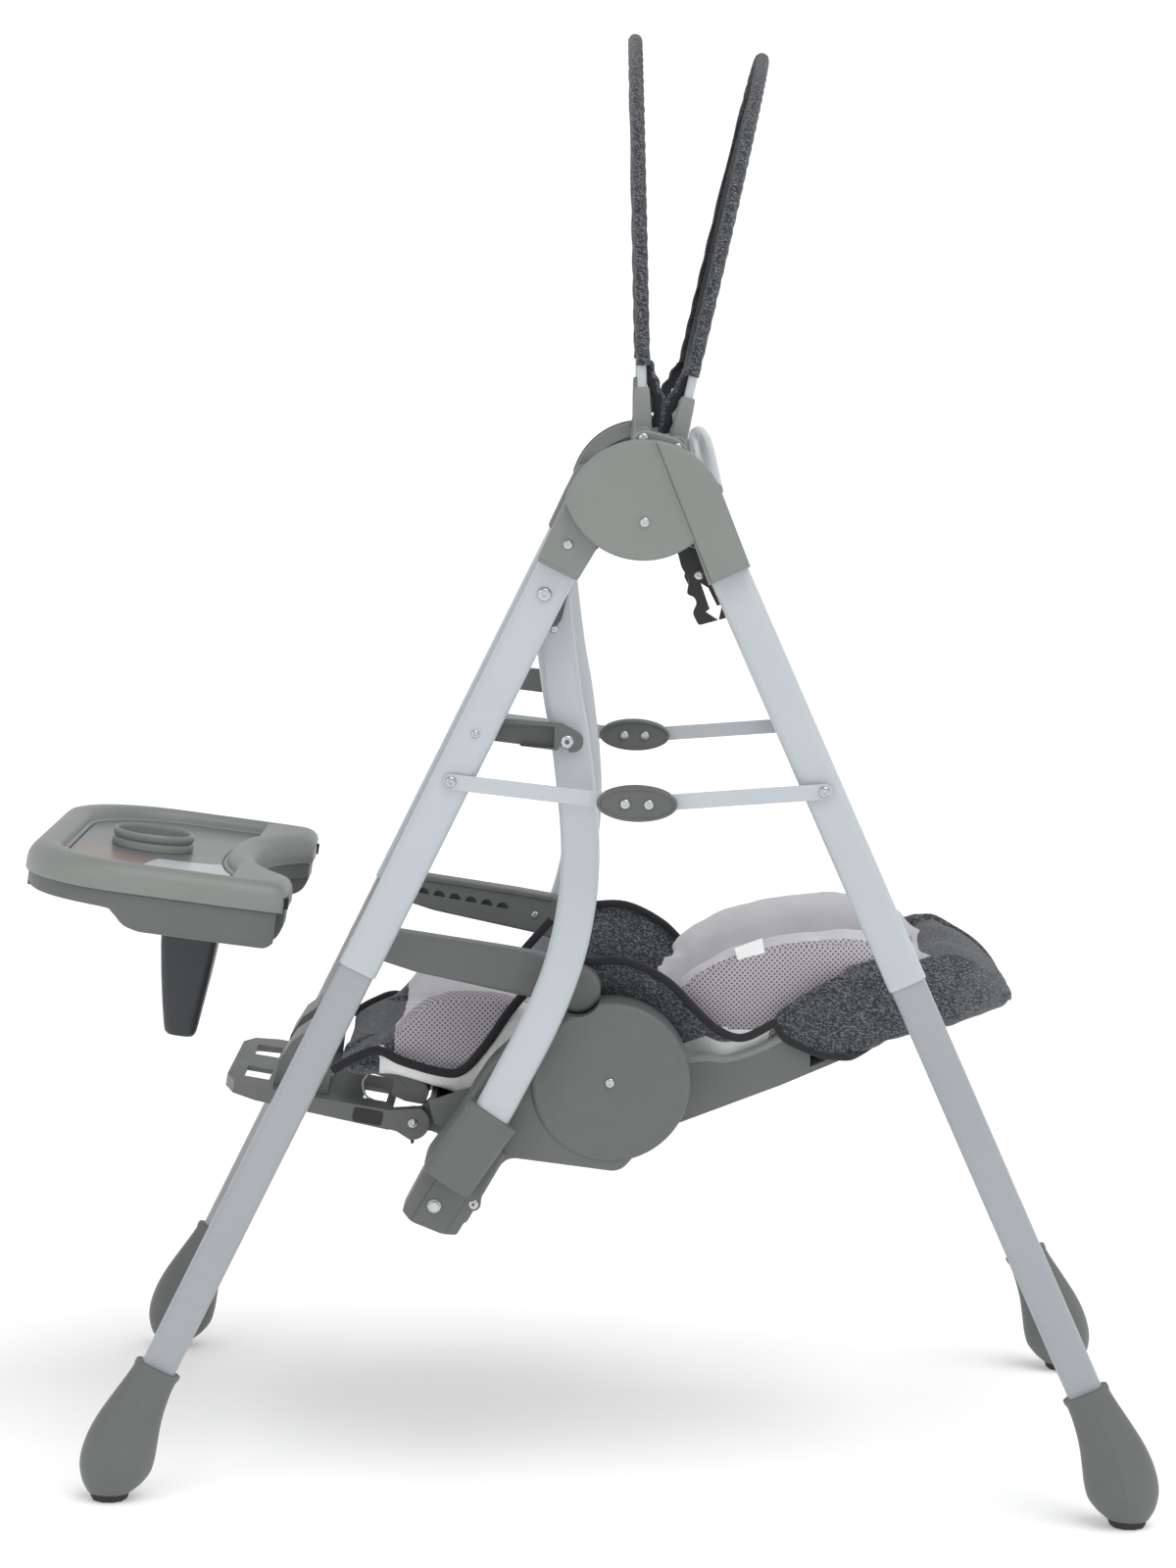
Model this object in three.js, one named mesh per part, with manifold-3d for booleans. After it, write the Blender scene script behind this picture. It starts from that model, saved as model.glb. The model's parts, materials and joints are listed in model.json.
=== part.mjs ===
// Folding baby swing: an A-frame on four legs, a swinging reclining seat, a sliding tray and a
// two-hoop canopy. Millimetres, +Z up, the child faces -X, the floor is Z = 0, left is -Y.
import * as THREE from 'three';
import { mergeVertices } from 'three/addons/utils/BufferGeometryUtils.js';
import Module from 'manifold-3d';

const wasm = await Module();
wasm.setup();

// ---- driving dimensions -------------------------------------------------------------------
const GAP = 0.3;                 // clearance kept between touching pieces
const RUN = 1;                   // clearance kept between pieces that slide past each other
const HUB_X = 40.17;             // hub axis from the middle of the whole object's box
const HUB_Z = 956;               // hub axis above the floor
const LEG_Y = 300;               // centre plane of each leg
const LEG_ANGLE = 25.13;         // leg from the vertical, degrees
const LEG_OFFSET = 52.6;         // leg axis from the hub axis
const UPPER_TUBE = [38, 20, 1.5];    // width, thickness, wall
const LOWER_TUBE = [34.4, 16.4, 1.3];
const LEG_START = 42;            // stations along the leg axis, from the hub to the floor
const COLLAR_END = 78;
const TELESCOPE_END = 504;
const LOWER_START = 444;
const BOOT_START = 936;
const LOWER_END = 974;
const BOOT_FLOOR_X = 491;        // middle of the foot pad from the hub axis
const PAD_HEIGHT = 7.5;
const CROSSBAR_STATION = 900;
const CROSSBAR_R = 11;
const CROSSBAR_WALL = 1.3;
const HUB_FACE = 335;            // outer face of the hub
const HUB_R = 77;                // upper arc of the hub plate
const BELLY_R = 75;              // lower arc of the hub plate
const BELLY_RISE = 39;           // its centre above the hub axis
const HUB_INNER = 281;
const SHELL_PLATE = 323;         // inner face of the hub's outer plate
const DISC_R = 34;               // front collar's disc round the bolt
const DISC_ROOM = 51;            // room that the disc and its web turn in
const BOLT_R = 3;
const LINK_RIVET = [176, 706];   // brace rivet on a leg
const KNUCKLE_RIVET = [11.2, 690.5];
const LINK_FACE = 311;           // inner face of the brace links
const ARM_Y = 260;               // centre plane of the swing arms
const ARM_TUBE = [37, 20, 1.6];
const SEAT_PIVOT = [-18.5, 407.7];   // recline axis
const HOUSING_R = 78;
const HOUSING_OUT = 238;
const HOUSING_IN = 181;
const ARMREST_PIVOT = [-52, 495];
const ARMREST_R = 22.5;
const ARMREST_OUT = 222;
const ARMREST_IN = 192;
const FOOT_PIVOT = [-213.5, 343];    // leg rest axis
const TRAY_TILT = 6.3;           // degrees, front up
const TRAY_HORN = [-337, 562.7]; // horn tip on the parting line
const TRAY_LENGTH = 265;
const BELLY_DEPTH = 46;
const BELLY_HALF = 142;
const TRAY_HALF = 232;
const HOOP_Y = 268;              // centre line of a hoop's foot
const HOOP_R = 4.5;
const HOOP_HEIGHT = 383;
const FRONT_HOOP = [-3, 1034, -2.7];     // hinge x, z and lean in degrees
const REAR_HOOP = [29, 1026, 11.8];

const rad = THREE.MathUtils.degToRad;
const SIDES = [['left', -1], ['right', 1]];

// ---- materials ------------------------------------------------------------------------------
const paint = (hex, roughness, metalness = 0) =>
  new THREE.MeshStandardMaterial({ color: hex, roughness, metalness });
const TUBE = paint(0xb9bfc3, 0.4, 0.1);
const PLASTIC = paint(0x6f736e, 0.55);
const DARK_PLASTIC = paint(0x4b4e4c, 0.6);
const BLACK = paint(0x1b1b1c, 0.5);
const STEEL = paint(0xc9cacb, 0.25, 1);
const RUBBER = paint(0x262726, 0.85);
const FABRIC = paint(0x3a3c40, 0.95);
const LINER = paint(0x9b989b, 0.95);
const CARD = paint(0xb7b3ac, 0.6);

// ---- solids ---------------------------------------------------------------------------------
function solid(geometry) {
  const bare = geometry.clone();
  bare.deleteAttribute('normal');
  bare.deleteAttribute('uv');
  const merged = mergeVertices(bare, 1e-4);
  const index = merged.index.array;
  return new wasm.Manifold(new wasm.Mesh({
    numProp: 3,
    vertProperties: new Float32Array(merged.attributes.position.array),
    triVerts: new Uint32Array(index),
  }));
}

function toGeometry(body) {
  const mesh = body.getMesh();
  const geometry = new THREE.BufferGeometry();
  geometry.setAttribute('position', new THREE.BufferAttribute(mesh.vertProperties, 3));
  geometry.setIndex(new THREE.BufferAttribute(mesh.triVerts, 1));
  geometry.computeVertexNormals();
  return geometry;
}

const join = (first, ...rest) => rest.reduce((sum, body) => sum.add(body), first);
const cut = (first, ...rest) => rest.reduce((left, body) => left.subtract(body), first);

// Prism of an X-Z outline between two Y planes.
function prism(outline, yA, yB) {
  const low = Math.min(yA, yB);
  const high = Math.max(yA, yB);
  const shape = new THREE.Shape(outline.map(([x, z]) => new THREE.Vector2(x, z)));
  const geometry = new THREE.ExtrudeGeometry(shape, { depth: high - low, bevelEnabled: false });
  geometry.rotateX(Math.PI / 2);
  geometry.translate(0, high, 0);
  return solid(geometry);
}

// Prism of an X-Y outline between two heights.
function slab(outline, low, high) {
  const shape = new THREE.Shape(outline.map(([x, y]) => new THREE.Vector2(x, y)));
  const geometry = new THREE.ExtrudeGeometry(shape, { depth: high - low, bevelEnabled: false });
  geometry.translate(0, 0, low);
  return solid(geometry);
}

const block = (x0, x1, y0, y1, z0, z1) =>
  prism([[x0, z0], [x1, z0], [x1, z1], [x0, z1]], y0, y1);

function arc([cx, cz], r, from, to, steps) {
  return Array.from({ length: steps + 1 }, (_, i) => {
    const a = rad(from + (to - from) * i / steps);
    return [cx + r * Math.cos(a), cz + r * Math.sin(a)];
  });
}
const disc = (centre, r, steps = 20) => arc(centre, r, 0, 360 * (1 - 1 / steps), steps - 1);

// Surface over equal rings of points; a hollow sweep has an inner ring at each station.
function skin(outer, inner) {
  const count = outer[0].length;
  const last = outer.length - 1;
  const points = [];
  const faces = [];
  const rings = inner ? [...outer, ...inner] : outer;
  rings.forEach((ring) => ring.forEach((p) => points.push(p.x, p.y, p.z)));
  const at = (ring, i) => ring * count + (i % count);
  const wall = (a, b, flip) => {
    for (let i = 0; i < count; i++) {
      const quad = [at(a, i), at(a, i + 1), at(b, i + 1), at(b, i)];
      if (flip) quad.reverse();
      faces.push(quad[0], quad[1], quad[2], quad[0], quad[2], quad[3]);
    }
  };
  for (let r = 0; r < last; r++) {
    wall(r, r + 1, false);
    if (inner) wall(last + 1 + r, last + 2 + r, true);
  }
  if (inner) {
    wall(last + 1, 0, false);
    wall(last, 2 * last + 1, false);
  } else {
    for (let i = 1; i < count - 1; i++) {
      faces.push(at(0, 0), at(0, i + 1), at(0, i));
      faces.push(at(last, 0), at(last, i), at(last, i + 1));
    }
  }
  const geometry = new THREE.BufferGeometry();
  geometry.setAttribute('position', new THREE.Float32BufferAttribute(points, 3));
  geometry.setIndex(faces);
  return solid(geometry);
}

// Rounded rectangle ring in local u (width) and v (thickness).
function roundedRing(width, thick, radius, steps = 3) {
  const u = width / 2 - radius;
  const v = thick / 2 - radius;
  return [[u, v, 0], [-u, v, 90], [-u, -v, 180], [u, -v, 270]]
    .flatMap(([cu, cv, from]) => arc([cu, cv], radius, from, from + 90, steps));
}
const roundRing = (r, steps = 12) => disc([0, 0], r, steps);
const oval = (a, b, steps) => disc([0, 0], 1, steps).map(([u, v]) => [a * u, b * v]);

// Outer and inner ring of a flat-oval tube of [width, thickness, wall].
const OVAL = 0.42;               // corner radius over thickness
const tubeRing = ([width, thick]) => roundedRing(width, thick, thick * OVAL);
const boreRing = ([width, thick, wall]) =>
  roundedRing(width - 2 * wall, thick - 2 * wall, thick * OVAL - wall);
const grow = ([width, thick, wall], by) => [width + 2 * by, thick + 2 * by, wall];

// Ring at a station of a sweep: a point and the directions of u and v, with u x v forward.
function place(ring, point, u, v) {
  return ring.map(([a, b]) => point.clone().addScaledVector(u, a).addScaledVector(v, b));
}

const UP_Y = new THREE.Vector3(0, 1, 0);
// Sweep along a path in a plane of constant Y; widths lie in the plane, thickness along Y.
function sweepXZ(path, outer, inner) {
  const stations = path.map(([x, y, z], i) => {
    const next = path[Math.min(i + 1, path.length - 1)];
    const prev = path[Math.max(i - 1, 0)];
    const t = new THREE.Vector3(next[0] - prev[0], 0, next[2] - prev[2]).normalize();
    return [new THREE.Vector3(x, y, z), new THREE.Vector3().crossVectors(UP_Y, t)];
  });
  const rings = (ring) => stations.map(([p, u]) => place(ring, p, u, UP_Y));
  return skin(rings(outer), inner && rings(inner));
}

// Straight bar along Y.
function barY(ring, x, z, y0, y1, inner) {
  const ends = [Math.min(y0, y1), Math.max(y0, y1)].map((y) => new THREE.Vector3(x, y, z));
  const u = new THREE.Vector3(0, 0, 1);
  const v = new THREE.Vector3(1, 0, 0);
  const rings = (r) => ends.map((p) => place(r, p, u, v));
  return skin(rings(ring), inner && rings(inner));
}

function turned(body, [x, z], degrees) {
  const geometry = toGeometry(body);
  geometry.translate(-x, 0, -z);
  geometry.rotateY(rad(degrees));
  geometry.translate(x, 0, z);
  return solid(geometry);
}

// ---- the group --------------------------------------------------------------------------------
const group = new THREE.Group();
group.position.x = HUB_X;

function add(name, body, material) {
  const mesh = new THREE.Mesh(toGeometry(body), material);
  mesh.name = name;
  group.add(mesh);
}

// ---- legs ---------------------------------------------------------------------------------------
const LEG_SIN = Math.sin(rad(LEG_ANGLE));
const LEG_COS = Math.cos(rad(LEG_ANGLE));
// Point on a leg axis: way is -1 for the front leg and 1 for the rear leg.
function legPoint(way, station, across = 0) {
  const out = LEG_OFFSET + across;
  return [way * (LEG_COS * out + LEG_SIN * station),
    HUB_Z + LEG_SIN * out - LEG_COS * station];
}

function legTube(way, y, from, to, tube, hollow = true) {
  const path = [from, to].map((s) => {
    const [x, z] = legPoint(way, s);
    return [x, y, z];
  });
  return sweepXZ(path, tubeRing(tube), hollow ? boreRing(tube) : undefined);
}

// Boot: an oval bulb that turns from the leg's lean to upright, with a socket for the tube.
const BOOT_BOW = 7;
const BOOT_SIDES = 18;
const BOOT_ROWS = [              // share of the way down, lean left, half width, half depth
  [0, 1, 21.5, 13.5], [0.14, 0.97, 23, 15.5], [0.32, 0.9, 27, 20], [0.5, 0.75, 32, 25],
  [0.66, 0.55, 35, 29], [0.8, 0.35, 34.5, 30], [0.91, 0.15, 29, 26], [1, 0, 20, 19],
];
function boot(way, y) {
  const top = legPoint(way, BOOT_START);
  const foot = [way * BOOT_FLOOR_X, PAD_HEIGHT];
  const rings = BOOT_ROWS.map(([t, lean, a, b]) => {
    const bow = BOOT_BOW * Math.sin(Math.PI * t);
    const centre = new THREE.Vector3(
      THREE.MathUtils.lerp(top[0], foot[0], t) + way * bow, y,
      THREE.MathUtils.lerp(top[1], foot[1], t));
    const angle = rad(LEG_ANGLE * lean);
    const down = new THREE.Vector3(way * Math.sin(angle), 0, -Math.cos(angle));
    const u = new THREE.Vector3().crossVectors(UP_Y, down);
    return place(oval(a, b, BOOT_SIDES), centre, u, UP_Y);
  });
  const socket = legTube(way, y, BOOT_START - 30, LOWER_END + GAP, grow(LOWER_TUBE, GAP), false);
  return cut(skin(rings), socket);
}

function pad(way, y) {
  const ring = (r, z) => disc([way * BOOT_FLOOR_X, y], r, 16)
    .map(([x, yy]) => new THREE.Vector3(x, yy, z));
  return skin([ring(16.5, 0), ring(18.5, 1.5), ring(18.5, PAD_HEIGHT - GAP)]);
}

const LEG_ENDS = [['front', -1], ['rear', 1]];
for (const [side, s] of SIDES) {
  for (const [end, way] of LEG_ENDS) {
    const y = s * LEG_Y;
    add(`${side}_${end}_leg_upper`, legTube(way, y, LEG_START, TELESCOPE_END, UPPER_TUBE), TUBE);
    add(`${side}_${end}_leg_lower`, legTube(way, y, LOWER_START, LOWER_END, LOWER_TUBE), TUBE);
    add(`${side}_${end}_boot`, boot(way, y), PLASTIC);
    add(`${side}_${end}_foot_pad`, pad(way, y), RUBBER);
  }
}
for (const [end, way] of LEG_ENDS) {
  const [x, z] = legPoint(way, CROSSBAR_STATION);
  const reach = LEG_Y - LOWER_TUBE[1] / 2 - GAP;
  add(`${end}_crossbar`, barY(roundRing(CROSSBAR_R), x, z, -reach, reach,
    roundRing(CROSSBAR_R - CROSSBAR_WALL)), TUBE);
}

// ---- hubs -----------------------------------------------------------------------------------------
const HUB = [0, HUB_Z];
const WEB_OUT = 304.5;           // outer face of the hub shell's inner web
const COLLAR_OUT = 322.5;        // outer face of the front collar
const COLLAR_HALF = 21.3;

// Outline of a collar round a leg, from the hub to its open end.
function collarOutline(way) {
  return [legPoint(way, COLLAR_END, COLLAR_HALF), legPoint(way, COLLAR_END, -COLLAR_HALF),
    legPoint(way, 40, -COLLAR_HALF - 3), legPoint(way, 5, -15), legPoint(way, -8, 8),
    legPoint(way, 6, 22), legPoint(way, 35, COLLAR_HALF + 1)];
}

// Rounded hub plate: an arc about the bolt over an arc about a point above it.
function plateOutline() {
  const belly = [-2, HUB_Z + BELLY_RISE];
  return [...arc(HUB, HUB_R, 17, 162, 22), ...arc(belly, BELLY_R, 192, 347, 22)];
}

function hubShell(s) {
  const plate = prism(plateOutline(), s * SHELL_PLATE, s * HUB_FACE);
  const shoulder = prism([[-3, HUB_Z + 70], [30, HUB_Z + 66], [66, HUB_Z + 37],
    legPoint(1, COLLAR_END, COLLAR_HALF), legPoint(1, COLLAR_END, -COLLAR_HALF),
    [46, HUB_Z - 18]], s * (SHELL_PLATE - 6), s * (SHELL_PLATE + 5));
  const collar = prism(collarOutline(1), s * HUB_INNER, s * (SHELL_PLATE + 1));
  const web = prism([...arc(HUB, 24, 60, 300, 12), legPoint(1, 60, -15), legPoint(1, 5, -12)],
    s * HUB_INNER, s * WEB_OUT);
  const ears = [FRONT_HOOP, REAR_HOOP].map(([x, z]) =>
    prism([[x - 9, HUB_Z + 55], [x + 9, HUB_Z + 55], ...arc([x, z], 9, 0, 180, 6)],
      s * HUB_INNER, s * (HUB_INNER + 5)));
  const bridge = prism([[-14, HUB_Z + 48], [44, HUB_Z + 40], [44, HUB_Z + 56], [29, HUB_Z + 66],
    [-14, HUB_Z + 70]], s * HUB_INNER, s * (SHELL_PLATE + 1));
  const discRoom = prism(disc(HUB, DISC_ROOM, 28), s * (WEB_OUT + 0.5), s * SHELL_PLATE);
  const casing = cut(join(shoulder, collar, bridge), discRoom);
  const slot = legTube(1, s * LEG_Y, LEG_START - GAP, TELESCOPE_END, grow(UPPER_TUBE, GAP), false);
  const bore = barY(roundRing(BOLT_R + GAP), 0, HUB_Z, s * 200, s * 400);
  return cut(join(casing, plate, web, ...ears), slot, bore);
}

function frontCollar(s) {
  const collar = cut(prism(collarOutline(-1), s * HUB_INNER, s * COLLAR_OUT),
    prism(disc(HUB, 46, 28), s * (WEB_OUT + 1), s * 200));
  const plate = prism(disc(HUB, DISC_R, 28), s * (WEB_OUT + 1), s * COLLAR_OUT);
  const web = prism([[-46, HUB_Z + 18], [-43, HUB_Z - 22], [-22, HUB_Z - 26], [0, HUB_Z - 10],
    [-10, HUB_Z + 32]], s * (WEB_OUT + 1), s * COLLAR_OUT);
  const slot = legTube(-1, s * LEG_Y, LEG_START - GAP, TELESCOPE_END, grow(UPPER_TUBE, GAP), false);
  const bore = barY(roundRing(BOLT_R + GAP), 0, HUB_Z, s * 200, s * 400);
  return cut(join(collar, plate, web), slot, bore);
}

function hubBolt(s) {
  const shank = barY(roundRing(BOLT_R), 0, HUB_Z, s * 249, s * (HUB_FACE + 1.5));
  const head = barY(roundRing(4.5), 0, HUB_Z, s * (HUB_FACE + GAP), s * (HUB_FACE + 3));
  return join(shank, head);
}

// Arched tube that joins the two hubs behind their rear shoulders.
function topTube() {
  const reach = HUB_INNER - GAP;
  const path = Array.from({ length: 17 }, (_, i) => {
    const t = i / 8 - 1;
    const bow = 1 - t ** 4;
    return new THREE.Vector3(64 - 8 * bow, t * reach, HUB_Z + 29 + 40 * bow);
  });
  const rings = (r) => path.map((p, i) => {
    const t = path[Math.min(i + 1, 16)].clone().sub(path[Math.max(i - 1, 0)]);
    t.x = 0;
    t.normalize();
    if (i === 0 || i === 16) t.set(0, 1, 0);
    const u = new THREE.Vector3(1, 0, 0);
    return place(roundRing(r), p, new THREE.Vector3().crossVectors(t, u).negate(), u);
  });
  return skin(rings(9.5), rings(8.2));
}

for (const [side, s] of SIDES) {
  add(`${side}_hub_shell`, hubShell(s), PLASTIC);
  add(`${side}_front_collar`, frontCollar(s), PLASTIC);
  add(`${side}_hub_bolt`, hubBolt(s), STEEL);
}
add('top_tube', topTube(), TUBE);

// ---- folding brace --------------------------------------------------------------------------------
const LINK_THICK = 3;
const LINK_HALF = 7.5;
const KNUCKLE_THICK = 9;
const KNUCKLE_RIM = 4;
function capsule([ax, az], [bx, bz], r, steps = 6) {
  const angle = THREE.MathUtils.radToDeg(Math.atan2(bz - az, bx - ax));
  return [...arc([bx, bz], r, angle - 90, angle + 90, steps),
    ...arc([ax, az], r, angle + 90, angle + 270, steps)];
}

function brace(side, s) {
  const layers = { front: LINK_FACE, rear: LINK_FACE + LINK_THICK + GAP };
  for (const [end, way] of LEG_ENDS) {
    const inner = s * layers[end];
    const outer = s * (layers[end] + LINK_THICK);
    const leg = [way * LINK_RIVET[0], LINK_RIVET[1]];
    const middle = [way * KNUCKLE_RIVET[0], KNUCKLE_RIVET[1]];
    add(`${side}_${end}_link`, prism(capsule(leg, middle, LINK_HALF), inner, outer), TUBE);
  }
  const plate = (inset, from, to) => prism(oval(38 - inset, 16.5 - inset, 28)
    .map(([x, z]) => [x, KNUCKLE_RIVET[1] + z]), s * from, s * to);
  const face = LINK_FACE + 2 * LINK_THICK + 2 * GAP;
  const front = face + KNUCKLE_THICK;
  add(`${side}_knuckle`, cut(plate(0, face, front), plate(KNUCKLE_RIM, front - 2, front + 3)),
    DARK_PLASTIC);
}
SIDES.forEach(([side, s]) => brace(side, s));

// ---- latches and swing locks --------------------------------------------------------------------
function latch(s) {
  const body = [[34, HUB_Z - 34], [58, HUB_Z - 34], [80, HUB_Z - 62], [82, HUB_Z - 90],
    [52, HUB_Z - 97], [46, HUB_Z - 86], [49, HUB_Z - 76], [38, HUB_Z - 62]];
  return prism(body, s * 279.5, s * 268);
}

const LOCK_PIVOT = [-154, 751.5];
function swingLock(s) {
  const bar = prism([...arc(LOCK_PIVOT, 9, 90, 290, 6), [-62, 734],
    ...arc([-62, 744], 10, 270, 400, 5), [-72, 760], [-126, 764]], s * 288.5, s * 272);
  const channel = prism([[-165, 741], [-80, 738], [-80, 758], [-126, 760], [-165, 757]],
    s * 291, s * 275);
  const hook = prism([[-76, 728], [-66, 728], [-66, 741], [-76, 741]], s * 300, s * 260);
  return cut(bar, channel, hook);
}
for (const [side, s] of SIDES) {
  add(`${side}_fold_latch`, latch(s), BLACK);
  add(`${side}_swing_lock`, swingLock(s), DARK_PLASTIC);
}

// ---- swing arms, hangers and sockets --------------------------------------------------------------
const ARM_LINE = [[-86, 880], [-83, 850], [-74, 790], [-64, 738], [-54, 660], [-53, 606],
  [-60, 552], [-72, 508], [-90, 463], [-112, 418], [-131, 380], [-150, 345]];
const armCurve = new THREE.CatmullRomCurve3(
  ARM_LINE.map(([x, z]) => new THREE.Vector3(x, 0, z)), false, 'centripetal');

const ARM_STEPS = 20;
const armPath = (s) => armCurve.getSpacedPoints(ARM_STEPS).map((p) => [p.x, s * ARM_Y, p.z]);

function armTube(s) {
  return sweepXZ(armPath(s), tubeRing(ARM_TUBE), boreRing(ARM_TUBE));
}

// Room for the lower end of an arm, carried on a little past it.
function armRoom(s) {
  const path = armPath(s);
  const [a, b] = path.slice(-2);
  const beyond = 3 / Math.hypot(b[0] - a[0], b[2] - a[2]);
  path.push([b[0] + beyond * (b[0] - a[0]), b[1], b[2] + beyond * (b[2] - a[2])]);
  return sweepXZ(path, tubeRing(grow(ARM_TUBE, GAP)));
}

// Hanger: a crooked strap from the hub bolt down the outer face of the arm's top.
const HANGER_OUT = 278.5;
const HANGER_IN = 271;
const HANGER_LINE = [[-88, 864], [-82, 892], [-62, 926], [-40, 950], HUB];
const HANGER_HALF = 13;
function hanger(s) {
  const strap = HANGER_LINE.slice(1).map((p, i) =>
    prism(capsule(HANGER_LINE[i], p, HANGER_HALF, 8), s * HANGER_IN, s * HANGER_OUT));
  const boss = prism(disc(HUB, HANGER_HALF, 16), s * 252, s * HANGER_OUT);
  const bore = barY(roundRing(BOLT_R + GAP), 0, HUB_Z, s * 200, s * 400);
  return cut(join(boss, ...strap), bore);
}

function socket(s) {
  const sleeve = prism([[-154, 390], [-106, 368], [-152, 296], [-197, 326]], s * 247, s * 274);
  return cut(sleeve, armRoom(s));
}

// ---- seat -----------------------------------------------------------------------------------------
const SHELL_WALL = [165, 171];   // seat shell side wall, from and to
const BACK_WALL = [173, 179];    // backrest shell side wall
const [PX, PZ] = SEAT_PIVOT;

// Side housing: a round cover joined to a low skirt, open on its inner face.
const COVER_WALL = 4;
function sideHousing(s) {
  const skirt = [[-198, 322], [-170, 268], [-156, 262], [-118, 330], [-8, 318], [8, 336],
    [40, 356], [20, 440], [-60, 470], [-150, 388]];
  const round = prism(disc(SEAT_PIVOT, HOUSING_R, 40), s * HOUSING_IN, s * HOUSING_OUT);
  const body = prism(skirt, s * HOUSING_IN, s * HOUSING_OUT);
  const foot = prism([[-156, 264], [-176, 259], [-216, 281], [-176, 350], [-110, 360]],
    s * HOUSING_IN, s * 245);
  const roof = s * (HOUSING_OUT - COVER_WALL);
  const hollow = join(prism(disc(SEAT_PIVOT, HOUSING_R - COVER_WALL, 40), s * 100, roof),
    prism([[-164, 322], [-120, 336], [-12, 324], [30, 356], [16, 434], [-60, 440], [-140, 384]],
      s * 100, roof));
  const armrest = prism(disc(ARMREST_PIVOT, ARMREST_R + RUN, 24), s * 100, s * 300);
  const reach = prism([ARMREST_PIVOT, [-300, 486], [-300, 620], [-30, 540]], s * 100, s * 300);
  return cut(join(round, body, foot), hollow, armrest, reach);
}

// Seat shell: a floor between two low side walls, with two arms out to the leg rest.
const REST_ARM = [105, 119];     // leg rest arm, from and to
const HINGE_BORE = 3.5;
function seatShell() {
  const floor = prism([[-196, 372], [-190, 350], [-120, 330], [0, 322], [14, 330], [14, 336],
    [-2, 329], [-118, 336], [-184, 355], [-190, 373]], -SHELL_WALL[1], SHELL_WALL[1]);
  const walls = [-1, 1].map((s) => prism([[-196, 372], [-190, 350], [-120, 330], [0, 322],
    [14, 330], [30, 380], [10, 440], [-60, 455], [-120, 400]],
  s * SHELL_WALL[0], s * SHELL_WALL[1]));
  const mounts = [-1, 1].map((s) => prism([[-170, 340], [-30, 325], [-30, 380], [-120, 385]],
    s * SHELL_WALL[0], s * (BACK_WALL[0] - 0.5)));
  const arm = [...arc(FOOT_PIVOT, 12, 60, 300, 10), [-190, 332], [-150, 334], [-150, 366],
    [-196, 366]];
  const arms = [-1, 1].map((s) => cut(prism(arm, s * REST_ARM[0], s * REST_ARM[1]),
    barY(roundRing(HINGE_BORE), ...FOOT_PIVOT, s * 90, s * 130)));
  return join(floor, ...walls, ...mounts, ...arms);
}

// Backrest shell: a rounded panel between side walls that turn on the recline axis.
const BACK_TIP = [300, 462];
function backShell() {
  const plan = [[-70, -BACK_WALL[1]], [150, -BACK_WALL[1]], [240, -160], [285, -120],
    [300, -60], [300, 60], [285, 120], [240, 160], [150, BACK_WALL[1]], [-70, BACK_WALL[1]]];
  const panel = prism([[49, 358], [211, 424], BACK_TIP, [BACK_TIP[0] - 2, BACK_TIP[1] + 6],
    [209, 430], [47, 364]], -BACK_WALL[1], BACK_WALL[1]);
  const rim = [[280, 470], [200, 458], [151, 447], [129, 435], [98, 424], [55, 424]];
  const side = [[PX, PZ - 34], [49, 358], [211, 424], BACK_TIP, ...rim, [PX + 20, PZ + 34]];
  const walls = [-1, 1].flatMap((s) => [side, disc(SEAT_PIVOT, 36, 24)]
    .map((outline) => prism(outline, s * BACK_WALL[0], s * BACK_WALL[1])));
  return join(panel, ...walls).intersect(slab(plan, 300, 520));
}

// The two cushions meet along arcs about the recline axis, so that the back can be raised.
const SIDE_SEAM = 94;            // radius of the seam at the raised sides
const MIDDLE_SEAM = 45;          // radius of the seam in the middle
const SEAM_GAP = 4;
const DISH_HALF = 116;           // half width of the dished middle
const PAD_HALF = 163;

// Seat cushion: a dished block with raised thigh sides and a front lip.
function seatPad() {
  const side = [[-292, 388], [-286, 414], [-250, 428], [-228, 452], [-206, 475], [-158, 482],
    [-120, 480], [-70, 506], ...arc(SEAT_PIVOT, SIDE_SEAM, 101, 34, 8), [26, 430], [24, 374],
    [-4, 348], [-100, 348], [-178, 378], [-236, 394]];
  const dish = prism([[-310, 432], [-225, 418], [-160, 408], [-60, 390],
    [100, 400], [100, 560], [-310, 560]], -DISH_HALF, DISH_HALF);
  return cut(prism(side, -PAD_HALF, PAD_HALF), dish);
}

// Back cushion: raised side bolsters round a dished middle, closed past the shell's end.
function backPad() {
  const side = [[60, 494], [111, 522], [150, 537], [205, 544], [245, 540], [330, 526],
    [362, 512], [374, 496], [343, 481], [306, 472], [300, 472], [209, 434], [47, 368], [38, 400]];
  const plan = [[20, -PAD_HALF], [200, -PAD_HALF], [290, -150], [345, -112], [374, -50],
    [374, 50], [345, 112], [290, 150], [200, PAD_HALF], [20, PAD_HALF]];
  const dish = prism([[20, 412], [60, 412], [210, 462], [270, 488], [300, 600], [20, 600]],
    -DISH_HALF + 4, DISH_HALF - 4);
  const seam = [-1, 1].map((s) => prism(disc(SEAT_PIVOT, SIDE_SEAM + SEAM_GAP, 40),
    s * (DISH_HALF - 5), s * 200));
  const middle = prism(disc(SEAT_PIVOT, MIDDLE_SEAM + SEAM_GAP, 28), -200, 200);
  const body = prism(side, -PAD_HALF, PAD_HALF).intersect(slab(plan, 300, 600));
  return cut(body, dish, middle, ...seam);
}

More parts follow.
